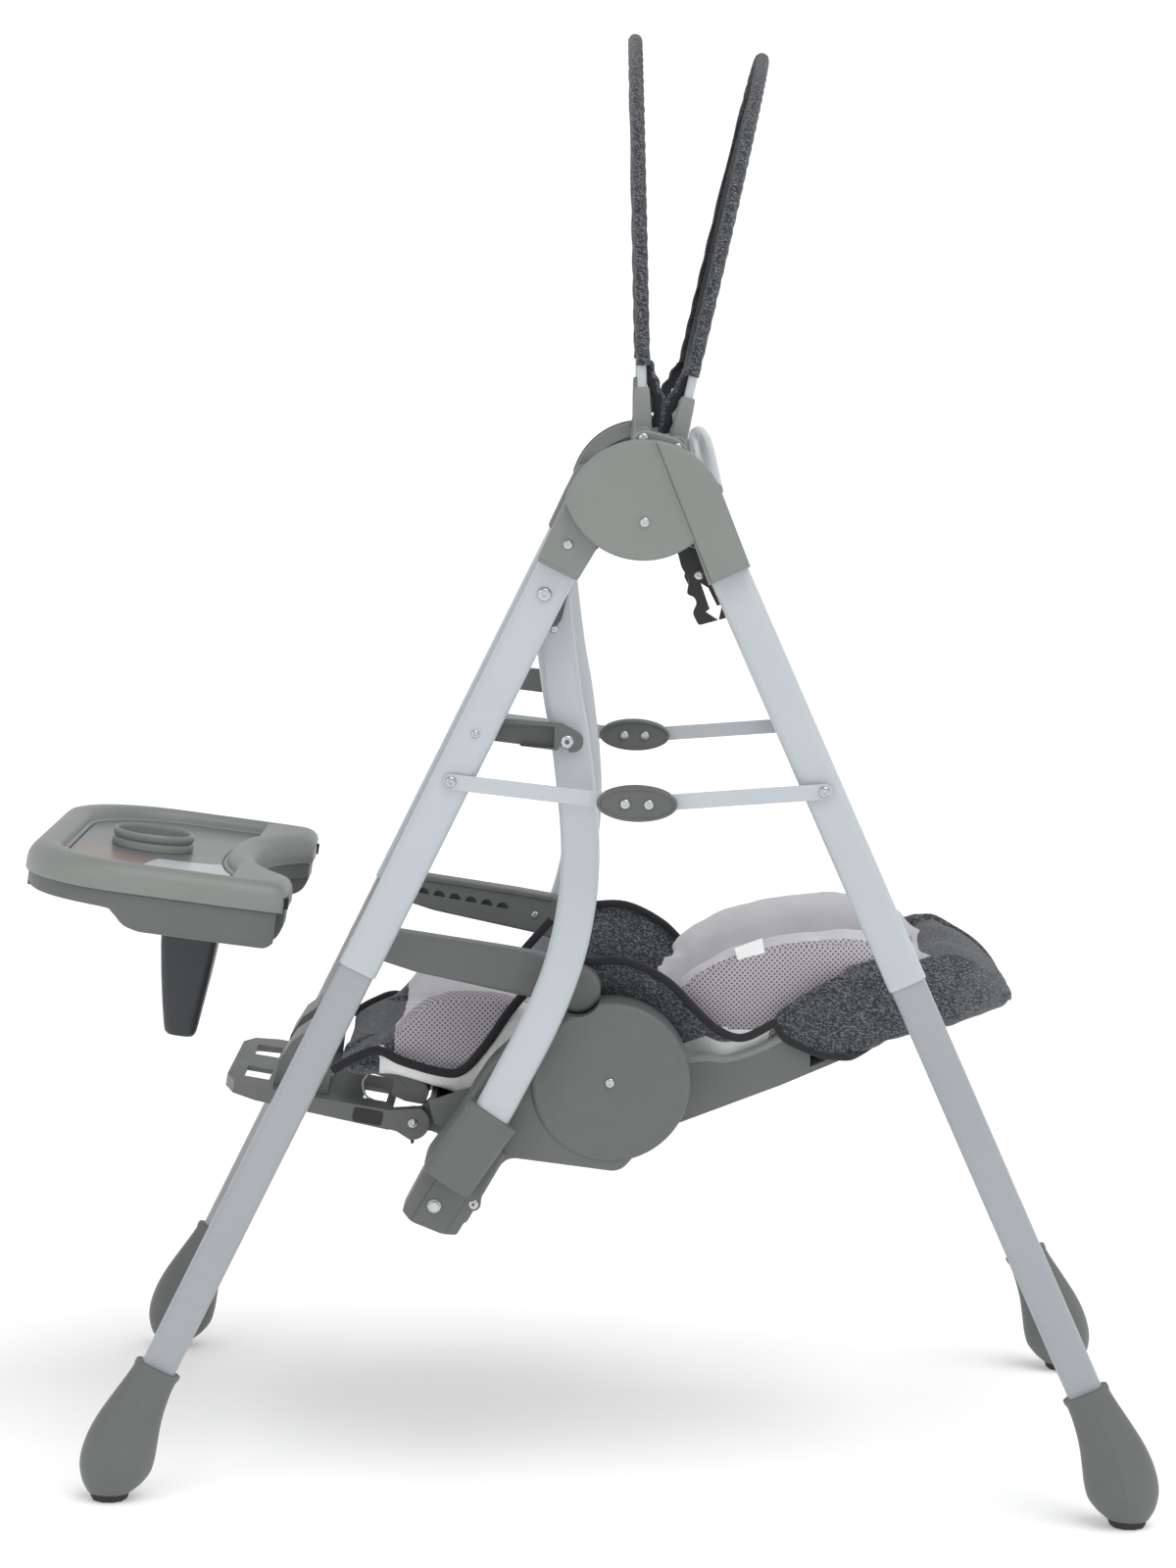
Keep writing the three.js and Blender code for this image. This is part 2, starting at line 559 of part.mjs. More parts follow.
// ---- leg rest -------------------------------------------------------------------------------------
const FOOT_TILT = 8.5;           // degrees, tip up
const FOOT_HALF = 136;
const FOOT_LENGTH = 192;
const DECK = [4, 9];             // heights of the deck about the hinge
const REST_WALL = 5;
function legRest() {
  const [fx, fz] = FOOT_PIVOT;
  const tip = fx - FOOT_LENGTH;
  const heel = fx - 22;
  const plan = [[heel, -FOOT_HALF], [tip + 34, -FOOT_HALF], [tip + 10, -FOOT_HALF + 14],
    [tip, -92], [tip, 92], [tip + 10, FOOT_HALF - 14], [tip + 34, FOOT_HALF], [heel, FOOT_HALF]];
  const deck = slab(plan, fz + DECK[0], fz + DECK[1]);
  const side = [[tip, fz - 3], [heel, fz - 11], [heel, fz + DECK[1]], [tip, fz + DECK[1]]];
  const outside = prism(side, -FOOT_HALF, FOOT_HALF).intersect(slab(plan, fz - 20, fz + 20));
  const room = plan.map(([x, y]) => [
    THREE.MathUtils.lerp(x, heel, 0.04) + (x > tip + 40 ? 9 : 0), y * (1 - REST_WALL / FOOT_HALF)]);
  const inside = slab(room, fz - 30, fz + DECK[0]);
  const slot = (s, x0, x1, y0, y1) =>
    slab([[x0, s * y0], [x1, s * y0], [x1, s * y1], [x0, s * y1]], fz - 30, fz + 30);
  const slots = [-1, 1].flatMap((s) => [
    slot(s, tip + 16, tip + 42, 34, 88), slot(s, fx - 54, fx - 30, 30, 96)]);
  const ear = [...arc(FOOT_PIVOT, 17, 270, 430, 12), [fx - 24, fz + DECK[1]],
    [fx - 48, fz + DECK[1]], [fx - 48, fz - 8], [fx - 14, fz - 11]];
  const ears = [-1, 1].map((s) => cut(prism(ear, s * 120, s * FOOT_HALF),
    barY(roundRing(HINGE_BORE), fx, fz, s * 90, s * 150)));
  const rest = join(cut(join(deck, cut(outside, inside)), ...slots), ...ears);
  return turned(rest, FOOT_PIVOT, FOOT_TILT);
}

// Foot plate: an upright curved board with two cheeks, standing on the leg rest. Its middle is
// open down to a thin sill, so that the tray's crotch post can pass.
const SILL = 2.5;
const FOOT_GAP = 33;
const PLATE_HALF = 112;
function footPlate() {
  const [fx, fz] = FOOT_PIVOT;
  const base = fz + DECK[1] + GAP;
  const front = [[fx - 144, base], [fx - 142, base + 25], [fx - 133, base + 46],
    [fx - 120, base + 59]];
  const back = [[fx - 104, base + 58], [fx - 90, base + 46], [fx - 88, base]];
  const outside = prism([...front, ...back], -PLATE_HALF, PLATE_HALF);
  const room = PLATE_HALF - 6;
  const inside = prism([[fx - 138, base - 5], [fx - 136, base + 24], [fx - 128, base + 41],
    [fx - 117, base + 53], [fx - 70, base + 70], [fx - 70, base - 5]], -room, room);
  const gap = block(fx - 200, fx - 50, -FOOT_GAP, FOOT_GAP, base + SILL, base + 100);
  const sill = block(fx - 143, fx - 89, -room - 1, room + 1, base, base + SILL);
  return turned(join(cut(outside, inside, gap), sill), FOOT_PIVOT, FOOT_TILT);
}

// ---- armrests and tray ----------------------------------------------------------------------------
const NOTCHES = 6;
const NOTCH_R = 6;
const NOTCH_PITCH = 17;
const NOTCH_START = [-222, 527];
const NOTCH_FALL = 0.16;         // drop of the row of notches over its length
function armrest(s) {
  const [ax, az] = ARMREST_PIVOT;
  const blade = [[-256, 551], [-263, 541], [-259, 520], [-250, 516], [-100, 486.5],
    [ax - 8, az - 21], ...arc(ARMREST_PIVOT, ARMREST_R, 260, 450, 12), [-84, 527.5], [-120, 533]];
  const body = prism(blade, s * ARMREST_IN, s * ARMREST_OUT);
  const notches = Array.from({ length: NOTCHES }, (_, i) => {
    const [x, z] = NOTCH_START;
    const centre = [x + i * NOTCH_PITCH, z - i * NOTCH_PITCH * NOTCH_FALL];
    return prism(arc(centre, NOTCH_R, -8, 172, 6), s * (ARMREST_IN + 8), s * (ARMREST_IN - 5));
  });
  return cut(body, ...notches);
}

for (const [side, s] of SIDES) {
  add(`${side}_swing_arm`, armTube(s), TUBE);
  add(`${side}_hanger`, hanger(s), DARK_PLASTIC);
  add(`${side}_arm_socket`, socket(s), PLASTIC);
  add(`${side}_side_housing`, sideHousing(s), PLASTIC);
  add(`${side}_armrest`, armrest(s), PLASTIC);
}
add('seat_shell', seatShell(), PLASTIC);
add('seat_pad', seatPad(), LINER);
add('back_shell', backShell(), PLASTIC);
add('back_pad', backPad(), FABRIC);
add('leg_rest', legRest(), PLASTIC);
add('foot_plate', footPlate(), PLASTIC);

// The tray is drawn level with its horn tip at TRAY_HORN and then tilted about it.
const [TX, TZ] = TRAY_HORN;
const FRONT_X = TX - TRAY_LENGTH;
const TRAY_CORNER = 100;
function trayPlan(inset) {
  const half = TRAY_HALF - inset;
  const front = FRONT_X + inset;
  const corner = (y, from, to) => arc([front + TRAY_CORNER, y], TRAY_CORNER, from, to, 7);
  const horn = TX - inset * 0.8;
  const bow = Array.from({ length: 15 }, (_, i) => {
    const t = 1 - i / 7;
    return [TX - inset - BELLY_DEPTH * (1 - Math.abs(t) ** 2.6), (BELLY_HALF + inset * 0.9) * t];
  });
  return [[horn, -half + 14], [horn - 10, -half + 3], [TX - 60, -half],
    ...corner(-half + TRAY_CORNER, 270, 180), ...corner(half - TRAY_CORNER, 180, 90),
    [TX - 60, half], [horn - 10, half - 3], [horn, half - 14], ...bow];
}
const tilted = (body) => turned(body, TRAY_HORN, TRAY_TILT);
const RIM_TOP = 28;
const RECESS = 14;
const RIM_WIDTH = 33;
// The recess keeps clear of the horns, which hold the armrest tunnels.
const recessPlan = (inset) => trayPlan(RIM_WIDTH + inset)
  .map(([x, y]) => [Math.min(x, TX - 62 - inset), y]);
const SHALLOW = 16;              // depth of the lower shell between its pods
const BASE_LOW = -37;            // bottom of the pods about the parting line
const TUNNEL = [-33, 15];        // heights of the armrest tunnels about the parting line
const TUNNEL_LENGTH = 58;
const POD_IN = 150;              // inner side of the deep pods that house the tunnels
const tunnels = () => [-1, 1].map((s) => block(TX - TUNNEL_LENGTH, TX + 20,
  s * (ARMREST_IN - 2.5), s * (ARMREST_OUT + 2.5), TZ + TUNNEL[0], TZ + TUNNEL[1]));

const SKIN = 3.5;               // wall of the tray's two shells
function trayRim() {
  const body = slab(trayPlan(0), TZ + GAP, TZ + RIM_TOP);
  const recess = slab(recessPlan(0), TZ + RIM_TOP - RECESS, TZ + 60);
  const pan = slab(recessPlan(-SKIN), TZ + RIM_TOP - RECESS - SKIN, TZ + 60);
  const pocket = slab(trayPlan(SKIN), TZ - 10, TZ + RIM_TOP - SKIN).subtract(pan);
  return tilted(cut(body, recess, pocket, ...tunnels()));
}

function trayBase() {
  const podOutline = (wall) => [[TX - 172 + wall, TZ + 9], [TX - 172 + wall, TZ - 6],
    [TX - 160 + wall, TZ + BASE_LOW + 8], [TX - 150 + wall, TZ + BASE_LOW + wall],
    [TX - 22 - wall, TZ + BASE_LOW + wall], [TX - 3 - wall, TZ + BASE_LOW + 14],
    [TX - 3 - wall, TZ + 9]];
  const pods = (wall) => [-1, 1].map((s) =>
    prism(podOutline(wall), s * (POD_IN + wall), s * TRAY_HALF)
      .intersect(slab(trayPlan(3 + wall), TZ - 60, TZ + wall)));
  const shallow = slab(trayPlan(3), TZ - SHALLOW, TZ);
  const pocket = slab(trayPlan(3 + SKIN), TZ - SHALLOW + SKIN, TZ + SKIN);
  return tilted(cut(join(shallow, ...pods(0)), pocket, ...pods(SKIN), ...tunnels()));
}

const CUP = [TX - 156, 0];
const CUP_R = 38;
const CUP_WALL = 6;
const CUP_HEIGHT = 17;
function cupRing() {
  const base = TZ + RIM_TOP - RECESS + 2 + GAP;
  return tilted(cut(slab(disc(CUP, CUP_R, 28), base, base + CUP_HEIGHT),
    slab(disc(CUP, CUP_R - CUP_WALL, 28), base + 3, base + 30)));
}

const CARD_THICK = 1.6;
function trayInsert() {
  const floor = TZ + RIM_TOP - RECESS + GAP;
  return tilted(slab(recessPlan(2), floor, floor + CARD_THICK));
}

const POST_X = TX - 106;
const POST_DROP = 172;            // from the tray's plane to the post's lower end
function crotchPost() {
  const top = TZ - SHALLOW - GAP;
  const ring = (z, shift, a, b) => roundedRing(2 * a, 2 * b, 8, 2)
    .map(([u, v]) => new THREE.Vector3(POST_X + shift + u, v, z));
  return tilted(skin([ring(TZ - POST_DROP, 2, 14, 17), ring(TZ - POST_DROP + 5, 1, 16, 19),
    ring(TZ - 75, 0, 29, 26), ring(top, 0, 31, 28)]));
}
add('tray_rim', trayRim(), PLASTIC);
add('tray_base', trayBase(), PLASTIC);
add('tray_insert', trayInsert(), CARD);
add('cup_ring', cupRing(), PLASTIC);
add('crotch_post', crotchPost(), DARK_PLASTIC);

// ---- canopy ---------------------------------------------------------------------------------------
// A hoop is drawn upright in the Y-Z plane above its hinge and then leaned about it.
const SOCKET_TOP = 46;
const HOOP_POWER = 2.3;          // 2 is an ellipse, more is squarer

function hoopPath(steps) {
  return Array.from({ length: steps + 1 }, (_, i) => {
    const q = Math.PI * (1 - i / steps);
    const y = HOOP_Y * Math.sign(Math.cos(q)) * Math.abs(Math.cos(q)) ** (2 / HOOP_POWER);
    const h = SOCKET_TOP + (HOOP_HEIGHT - SOCKET_TOP) * Math.abs(Math.sin(q)) ** (2 / HOOP_POWER);
    return [y, h];
  });
}

function lean(body, [x, z, degrees]) {
  const geometry = toGeometry(body);
  geometry.rotateY(rad(degrees));
  geometry.translate(x, 0, z);
  return solid(geometry);
}

function hoop() {
  const steps = 26;
  const path = [[-HOOP_Y, -6], ...hoopPath(steps), [HOOP_Y, -6]];
  const rings = path.map(([y, h], i) => {
    const [ya, ha] = path[Math.max(i - 1, 0)];
    const [yb, hb] = path[Math.min(i + 1, path.length - 1)];
    const t = new THREE.Vector3(0, yb - ya, hb - ha).normalize();
    const u = new THREE.Vector3(1, 0, 0);
    return place(roundRing(HOOP_R, 8), new THREE.Vector3(0, y, h),
      u, new THREE.Vector3().crossVectors(t, u));
  });
  const sockets = [-1, 1].map((s) => join(
    block(-7, 7, s * (HOOP_Y - 7), s * (HOOP_Y + 7), 0, SOCKET_TOP),
    prism(disc([0, 0], 8, 14), s * (HOOP_Y - 7), s * (HUB_INNER - 1))));
  return join(skin(rings), ...sockets);
}

function canopyPanel() {
  const inset = HOOP_R + 1.2;
  const shape = hoopPath(26).filter(([, h]) => h > SOCKET_TOP + 20)
    .map(([y, h]) => [y * (1 - inset / HOOP_Y), h - inset]);
  const low = SOCKET_TOP + 8;
  const outline = [[-HOOP_Y + inset, low], ...shape, [HOOP_Y - inset, low]];
  const geometry = new THREE.ExtrudeGeometry(new THREE.Shape(
    outline.map(([y, h]) => new THREE.Vector2(y, h))), { depth: 4, bevelEnabled: false });
  geometry.translate(0, 0, -2);
  geometry.rotateX(Math.PI / 2);
  geometry.rotateZ(Math.PI / 2);
  return solid(geometry);
}
add('front_hoop', lean(hoop(), FRONT_HOOP), TUBE);
add('rear_hoop', lean(hoop(), REAR_HOOP), TUBE);
add('front_canopy', lean(canopyPanel(), FRONT_HOOP), FABRIC);
add('rear_canopy', lean(canopyPanel(), REAR_HOOP), FABRIC);

export default group;
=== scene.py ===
import json
import math
import bmesh
import bpy
from mathutils import Matrix, Vector

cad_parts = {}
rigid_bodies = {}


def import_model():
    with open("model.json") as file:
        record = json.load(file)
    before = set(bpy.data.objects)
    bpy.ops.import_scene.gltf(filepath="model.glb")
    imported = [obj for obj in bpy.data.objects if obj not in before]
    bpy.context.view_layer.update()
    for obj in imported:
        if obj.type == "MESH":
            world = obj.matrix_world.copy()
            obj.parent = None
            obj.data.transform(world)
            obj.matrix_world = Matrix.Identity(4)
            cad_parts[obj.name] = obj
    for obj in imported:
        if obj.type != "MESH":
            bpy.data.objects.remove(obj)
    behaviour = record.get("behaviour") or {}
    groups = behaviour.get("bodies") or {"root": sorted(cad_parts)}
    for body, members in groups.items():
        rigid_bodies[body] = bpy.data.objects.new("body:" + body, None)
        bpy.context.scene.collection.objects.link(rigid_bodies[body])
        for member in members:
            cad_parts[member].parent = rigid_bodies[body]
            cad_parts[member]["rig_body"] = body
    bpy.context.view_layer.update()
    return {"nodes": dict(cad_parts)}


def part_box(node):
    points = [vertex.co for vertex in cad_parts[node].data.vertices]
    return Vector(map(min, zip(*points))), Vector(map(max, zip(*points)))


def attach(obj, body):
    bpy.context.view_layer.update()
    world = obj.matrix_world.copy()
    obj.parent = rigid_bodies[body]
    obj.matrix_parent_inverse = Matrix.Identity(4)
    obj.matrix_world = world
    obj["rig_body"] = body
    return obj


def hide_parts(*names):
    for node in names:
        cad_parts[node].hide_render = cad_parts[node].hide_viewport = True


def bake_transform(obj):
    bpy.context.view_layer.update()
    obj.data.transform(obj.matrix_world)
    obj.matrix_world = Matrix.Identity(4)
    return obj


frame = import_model()

# Looks of the folding baby swing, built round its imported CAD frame. Lengths of shapes are
# millimetres in the hub frame: X from the hub axis (the child faces -X), Y across (left is -Y)
# and Z from the floor. row() turns them into metres in the frame. Materials, camera and lights
# are in metres.
MM = 0.001
bolt_low, bolt_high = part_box("left_hub_bolt")
HUB_X = (bolt_low.x + bolt_high.x) / 2
HUB = (0.0, round((bolt_low.z + bolt_high.z) / 2 / MM, 1))
SIDES = (("left", -1), ("right", 1))
LEGS = (("front", -1), ("rear", 1))

LEG_Y = 300
LEG_ANGLE = math.radians(25.13)
LEG_OFFSET = 52.6
SEAT_PIVOT = (-18.5, 407.7)
FOOT_PIVOT = (-213.5, 343)
FOOT_TILT = 8.5
ARMREST_PIVOT = (-52, 495)
TRAY_HORN = (-337, 562.7)
TRAY_TILT = 6.3
LINK_RIVET = (176, 706)
KNUCKLE_RIVET = (11.2, 690.5)
FRONT_HOOP = (-3, 1034, -2.7)        # X and Z of the hinge, and the open hoop's lean in degrees
REAR_HOOP = (29, 1026, 11.8)


def row(point):
    return Vector((HUB_X + point[0] * MM, point[1] * MM, point[2] * MM))


def hub_frame(co):
    return Vector(((co.x - HUB_X) / MM, co.y / MM, co.z / MM))


# ---- node materials ----
def linear(r, g, b):
    """A display colour, 0 to 255, as the linear colour that a socket takes."""
    return tuple((c / 255) ** 2.2 for c in (r, g, b)) + (1.0,)


def put(tree, kind, inputs=None, **settings):
    """Adds a node, with its settings and its input values or links."""
    node = tree.nodes.new(kind)
    for key, value in settings.items():
        setattr(node, key, value)
    for key, value in (inputs or {}).items():
        if isinstance(value, bpy.types.NodeSocket):
            tree.links.new(value, node.inputs[key])
        else:
            node.inputs[key].default_value = value
    return node


def calc(tree, operation, a, b=0.0, c=0.0):
    return put(tree, "ShaderNodeMath", {0: a, 1: b, 2: c}, operation=operation).outputs[0]


def blend_colour(tree, share, a, b):
    node = put(tree, "ShaderNodeMix", {0: share, 6: a, 7: b}, data_type="RGBA")
    return node.outputs[2]


def ramp(tree, value, low, high):
    """0 below low, 1 above high."""
    node = put(tree, "ShaderNodeMapRange", {0: value, 1: low, 2: high})
    return node.outputs[0]


def noise(tree, place, scale, detail=2.0):
    node = put(tree, "ShaderNodeTexNoise", {"Vector": place, "Scale": scale, "Detail": detail})
    return node.outputs["Fac"]


def material(name, roughness, **values):
    made = bpy.data.materials.new(name)
    made.use_nodes = True
    tree = made.node_tree
    shader = tree.nodes["Principled BSDF"]
    shader.inputs["Roughness"].default_value = roughness
    for key, value in values.items():
        shader.inputs[key.replace("_", " ")].default_value = value
    place = put(tree, "ShaderNodeTexCoord").outputs["Object"]
    return made, tree, shader, place


def bump(tree, shader, height, distance, strength):
    node = put(tree, "ShaderNodeBump", {"Height": height, "Distance": distance, "Strength": strength})
    tree.links.new(node.outputs[0], shader.inputs["Normal"])


def colour_by(tree, shader, share, a, b):
    """Base colour from a, where share is 0, to b, where it is 1."""
    tree.links.new(blend_colour(tree, share, a, b), shader.inputs["Base Color"])


def dull_by(tree, shader, value, low, high):
    """Roughness from low, where value is 0, to high, where it is 1."""
    node = put(tree, "ShaderNodeMapRange", {0: value, 3: low, 4: high})
    tree.links.new(node.outputs[0], shader.inputs["Roughness"])


def toned(colour, factor):
    return tuple(min(1.0, c * factor) for c in colour[:3]) + (1.0,)


def moulded_plastic(name, colour, roughness=0.5, grain=0.00012):
    """Injection-moulded plastic: fine spark-eroded grain, cloudy tone and handled, duller patches."""
    made, tree, shader, place = material(name, roughness)
    cloud = noise(tree, place, 14.0, 4.0)
    fleck = noise(tree, place, 260.0, 2.0)
    tone = calc(tree, "MULTIPLY_ADD", cloud, 0.75, calc(tree, "MULTIPLY", fleck, 0.25))
    colour_by(tree, shader, tone, toned(colour, 0.86), toned(colour, 1.16))
    dull_by(tree, shader, cloud, roughness - 0.07, roughness + 0.1)
    bump(tree, shader, noise(tree, place, 1500.0, 3.0), grain, 0.5)
    return made


def painted_steel(name, colour):
    """Powder-coated tube: slight orange peel under a satin coat."""
    made, tree, shader, place = material(name, 0.33, Coat_Weight=0.35, Coat_Roughness=0.18)
    cloud = noise(tree, place, 9.0, 3.0)
    colour_by(tree, shader, cloud, toned(colour, 0.93), colour)
    dull_by(tree, shader, noise(tree, place, 40.0), 0.28, 0.4)
    bump(tree, shader, noise(tree, place, 420.0, 2.0), 0.00008, 0.35)
    return made


def zinc_steel(name):
    made, tree, shader, place = material(name, 0.25, Metallic=1.0)
    cloud = noise(tree, place, 90.0, 2.0)
    colour_by(tree, shader, cloud, (0.4, 0.4, 0.41, 1), (0.6, 0.61, 0.63, 1))
    dull_by(tree, shader, cloud, 0.16, 0.38)
    bump(tree, shader, noise(tree, place, 900.0, 3.0), 0.00005, 0.4)
    return made


def cloth_plane():
    """Node group: the two coordinates, in metres, that lie in the plane a surface faces most."""
    group = bpy.data.node_groups.new("cloth_plane", "ShaderNodeTree")
    for name in ("u", "v"):
        group.interface.new_socket(name, in_out="OUTPUT", socket_type="NodeSocketFloat")
    coord = put(group, "ShaderNodeTexCoord")
    place = put(group, "ShaderNodeSeparateXYZ", {0: coord.outputs["Object"]})
    facing = put(group, "ShaderNodeSeparateXYZ", {0: coord.outputs["Normal"]})
    x, y, z = (calc(group, "ABSOLUTE", facing.outputs[i]) for i in range(3))
    side = calc(group, "GREATER_THAN", y, calc(group, "MAXIMUM", x, z))
    end = calc(group, "GREATER_THAN", x, calc(group, "MAXIMUM", y, z))
    px, py, pz = (place.outputs[i] for i in range(3))
    upright = calc(group, "MAXIMUM", side, end)
    u = put(group, "ShaderNodeMix", {0: end, 2: px, 3: py}).outputs[0]
    v = put(group, "ShaderNodeMix", {0: upright, 2: py, 3: pz}).outputs[0]
    put(group, "NodeGroupOutput", {0: u, 1: v})
    return group


CLOTH_PLANE = cloth_plane()


def plane_of(tree):
    node = put(tree, "ShaderNodeGroup")
    node.node_tree = CLOTH_PLANE
    return node.outputs[0], node.outputs[1]


def wave(tree, value, pitch):
    return calc(tree, "SINE", calc(tree, "MULTIPLY", value, 2 * math.pi / pitch))


def melange_cloth(name, dark, light, pitch=0.0011):
    """Linen-look polyester: charcoal threads with white ones woven in, in a fine twill."""
    made, tree, shader, place = material(name, 0.9, Sheen_Weight=0.25, Sheen_Roughness=0.5)
    u, v = plane_of(tree)
    drift = calc(tree, "MULTIPLY", noise(tree, place, 60.0), pitch)
    weft = calc(tree, "FLOOR", calc(tree, "DIVIDE", calc(tree, "ADD", v, drift), pitch * 0.8))
    warp = calc(tree, "FLOOR", calc(tree, "DIVIDE", calc(tree, "ADD", u, v), pitch * 1.3))
    cell = put(tree, "ShaderNodeCombineXYZ", {0: warp, 1: weft}).outputs[0]
    thread = put(tree, "ShaderNodeTexWhiteNoise", {0: cell}).outputs["Value"]
    patch = calc(tree, "MULTIPLY_ADD", noise(tree, place, 350.0, 2.0), 0.2, -0.1)
    fleck = ramp(tree, calc(tree, "ADD", thread, patch), 0.5, 1.0)
    twill = calc(tree, "MULTIPLY_ADD", wave(tree, calc(tree, "ADD", u, v), pitch * 1.3), 0.5, 0.5)
    colour = blend_colour(tree, fleck, dark, light)
    shade = calc(tree, "MULTIPLY_ADD", twill, 0.35, 0.75)
    deep = put(tree, "ShaderNodeMix", {0: 1.0, 6: colour, 7: put(
        tree, "ShaderNodeCombineColor", {0: shade, 1: shade, 2: shade}).outputs[0]},
        data_type="RGBA", blend_type="MULTIPLY")
    tree.links.new(deep.outputs[2], shader.inputs["Base Color"])
    bump(tree, shader, twill, 0.0004, 0.7)
    return made


def mesh_liner(name, ground, dot, pitch=0.0052):
    """Spacer mesh: rows of small dark openings, staggered, in a soft light ground."""
    made, tree, shader, place = material(name, 0.85, Sheen_Weight=0.3, Sheen_Roughness=0.4)
    u, v = plane_of(tree)
    across = wave(tree, calc(tree, "ADD", u, v), pitch)
    along = wave(tree, calc(tree, "SUBTRACT", u, v), pitch)
    lattice = calc(tree, "MULTIPLY", calc(tree, "ADD", across, 1), calc(tree, "ADD", along, 1))
    opening = ramp(tree, lattice, 1.1, 2.5)
    cloud = calc(tree, "MULTIPLY", noise(tree, place, 12.0, 3.0), 0.5)
    base = blend_colour(tree, cloud, ground, toned(ground, 0.8))
    colour_by(tree, shader, opening, base, dot)
    bump(tree, shader, calc(tree, "SUBTRACT", 1.0, opening), 0.0006, 0.8)
    return made


def knit_cloth(name, colour, pitch=0.0012, depth=0.00015, spread=0.1, sheen=0.3):
    """Plain close fabric: fine ribs, soft cloudiness and a little sheen."""
    made, tree, shader, place = material(name, 0.8, Sheen_Weight=sheen, Sheen_Roughness=0.45)
    u, v = plane_of(tree)
    rib = calc(tree, "MULTIPLY", wave(tree, u, pitch), wave(tree, v, pitch))
    cloud = noise(tree, place, 25.0, 4.0)
    tone = calc(tree, "MULTIPLY_ADD", rib, 0.12, cloud)
    colour_by(tree, shader, tone, toned(colour, 1 - 2 * spread), toned(colour, 1 + spread))
    bump(tree, shader, calc(tree, "MULTIPLY_ADD", rib, 0.5, noise(tree, place, 90.0)), depth, 0.8)
    return made


def printed_card(name, tray_x):
    """Satin insert sheet: dark grey beyond a curve, and brown and pale fields nearer the left."""
    made, tree, shader, place = material(name, 0.4, Coat_Weight=0.2, Coat_Roughness=0.2)
    split = put(tree, "ShaderNodeSeparateXYZ", {0: place})
    x, y = split.outputs[0], split.outputs[1]
    bow = calc(tree, "MULTIPLY", calc(tree, "POWER", calc(tree, "ADD", y, 0.16), 2.0), 1.6)
    pale = ramp(tree, calc(tree, "SUBTRACT", calc(tree, "SUBTRACT", x, tray_x), bow), -0.001, 0.001)
    swing = calc(tree, "MULTIPLY", calc(tree, "SINE", calc(tree, "MULTIPLY", x, 26.0)), 0.02)
    beyond = ramp(tree, calc(tree, "ADD", y, swing), CARD_EDGE - 0.001, CARD_EDGE + 0.001)
    cloud = noise(tree, place, 30.0, 4.0)
    brown = blend_colour(tree, cloud, linear(112, 94, 87), linear(128, 110, 102))
    grey = blend_colour(tree, cloud, linear(172, 175, 180), linear(186, 189, 194))
    dark = blend_colour(tree, cloud, linear(96, 100, 101), linear(106, 110, 111))
    field = blend_colour(tree, pale, brown, grey)
    colour_by(tree, shader, beyond, field, dark)
    bump(tree, shader, noise(tree, place, 200.0), 0.00004, 0.3)
    return made


CARD_EDGE = -0.055                   # where the card's dark far field starts, in metres across
TUBE = painted_steel("tube_paint", linear(181, 188, 193))
LOW_TUBE = painted_steel("tube_paint_lower", linear(152, 158, 163))
PLASTIC = moulded_plastic("grey_plastic", linear(124, 128, 125), 0.42)
# Darker copy of the grey plastic: painted shade for the boots, covers, armrests, arm sockets and tray base,
# which sit lower and get less light.
SHADED_COVER_PLASTIC = moulded_plastic("grey_plastic_covers_painted_shade", linear(95, 98, 97), 0.46)
# Another darker copy of the grey plastic: painted shade for the seat and back shells, leg rest, foot plate
# and seat lip, which lie under the cushions.
SHADED_SHELL_PLASTIC = moulded_plastic("grey_plastic_shells_painted_shade", linear(98, 101, 100), 0.45)
DARK_PLASTIC = moulded_plastic("dark_plastic", linear(92, 94, 93), 0.45)
POST_PLASTIC = moulded_plastic("post_plastic", linear(52, 55, 60), 0.42)
BLACK = moulded_plastic("black_plastic", linear(32, 32, 33), 0.4)
STEEL = zinc_steel("zinc_steel")
RUBBER = moulded_plastic("pad_rubber", linear(46, 48, 50), 0.8, 0.0003)
MELANGE = melange_cloth("melange_fabric", linear(42, 45, 50), linear(120, 124, 130))
LINER = mesh_liner("mesh_liner", linear(178, 172, 177), linear(88, 83, 94))
WING = knit_cloth("wing_fabric", linear(192, 192, 196))
FELT = knit_cloth("felt", linear(244, 245, 245), 0.003, 0.0004, 0.02)
BINDING = knit_cloth("binding_tape", linear(34, 35, 39), 0.0016, 0.0003, 0.2, 0.15)
ELASTIC = knit_cloth("white_elastic", linear(232, 233, 235), 0.0022, 0.0004, 0.04)
PATCH = knit_cloth("leather_patch", linear(150, 122, 96), 0.004, 0.0002, 0.15, 0.0)
CARD = printed_card("insert_card", HUB_X + (TRAY_HORN[0] - 150) * MM)


# ---- shapes: (points, faces) in millimetres ----
def arc(centre, radius, start, stop, steps):
    """Points of a circular arc, from start to stop degrees."""
    turns = (math.radians(start + (stop - start) * i / steps) for i in range(steps + 1))
    return [(centre[0] + radius * math.cos(a), centre[1] + radius * math.sin(a)) for a in turns]


def disc(centre, radius, steps=48):
    return arc(centre, radius, 0, 360 * (1 - 1 / steps), steps - 1)


def round_corners(points, radius, steps=4):
    """The polygon with each corner turned into a curve that starts radius from it, if room."""
    out = []
    for i, p in enumerate(points):
        here = Vector(p)
        before = Vector(points[i - 1]) - here
        after = Vector(points[(i + 1) % len(points)]) - here
        turn = before.angle(-after, 0.0)
        reach = min(radius, before.length * 0.45, after.length * 0.45)
        if turn < math.radians(12):
            out.append(tuple(here))
            continue
        a, b = here + before.normalized() * reach, here + after.normalized() * reach
        for k in range(steps + 1):
            t = k / steps
            out.append(tuple(a * (1 - t) ** 2 + here * 2 * t * (1 - t) + b * t * t))
    return out


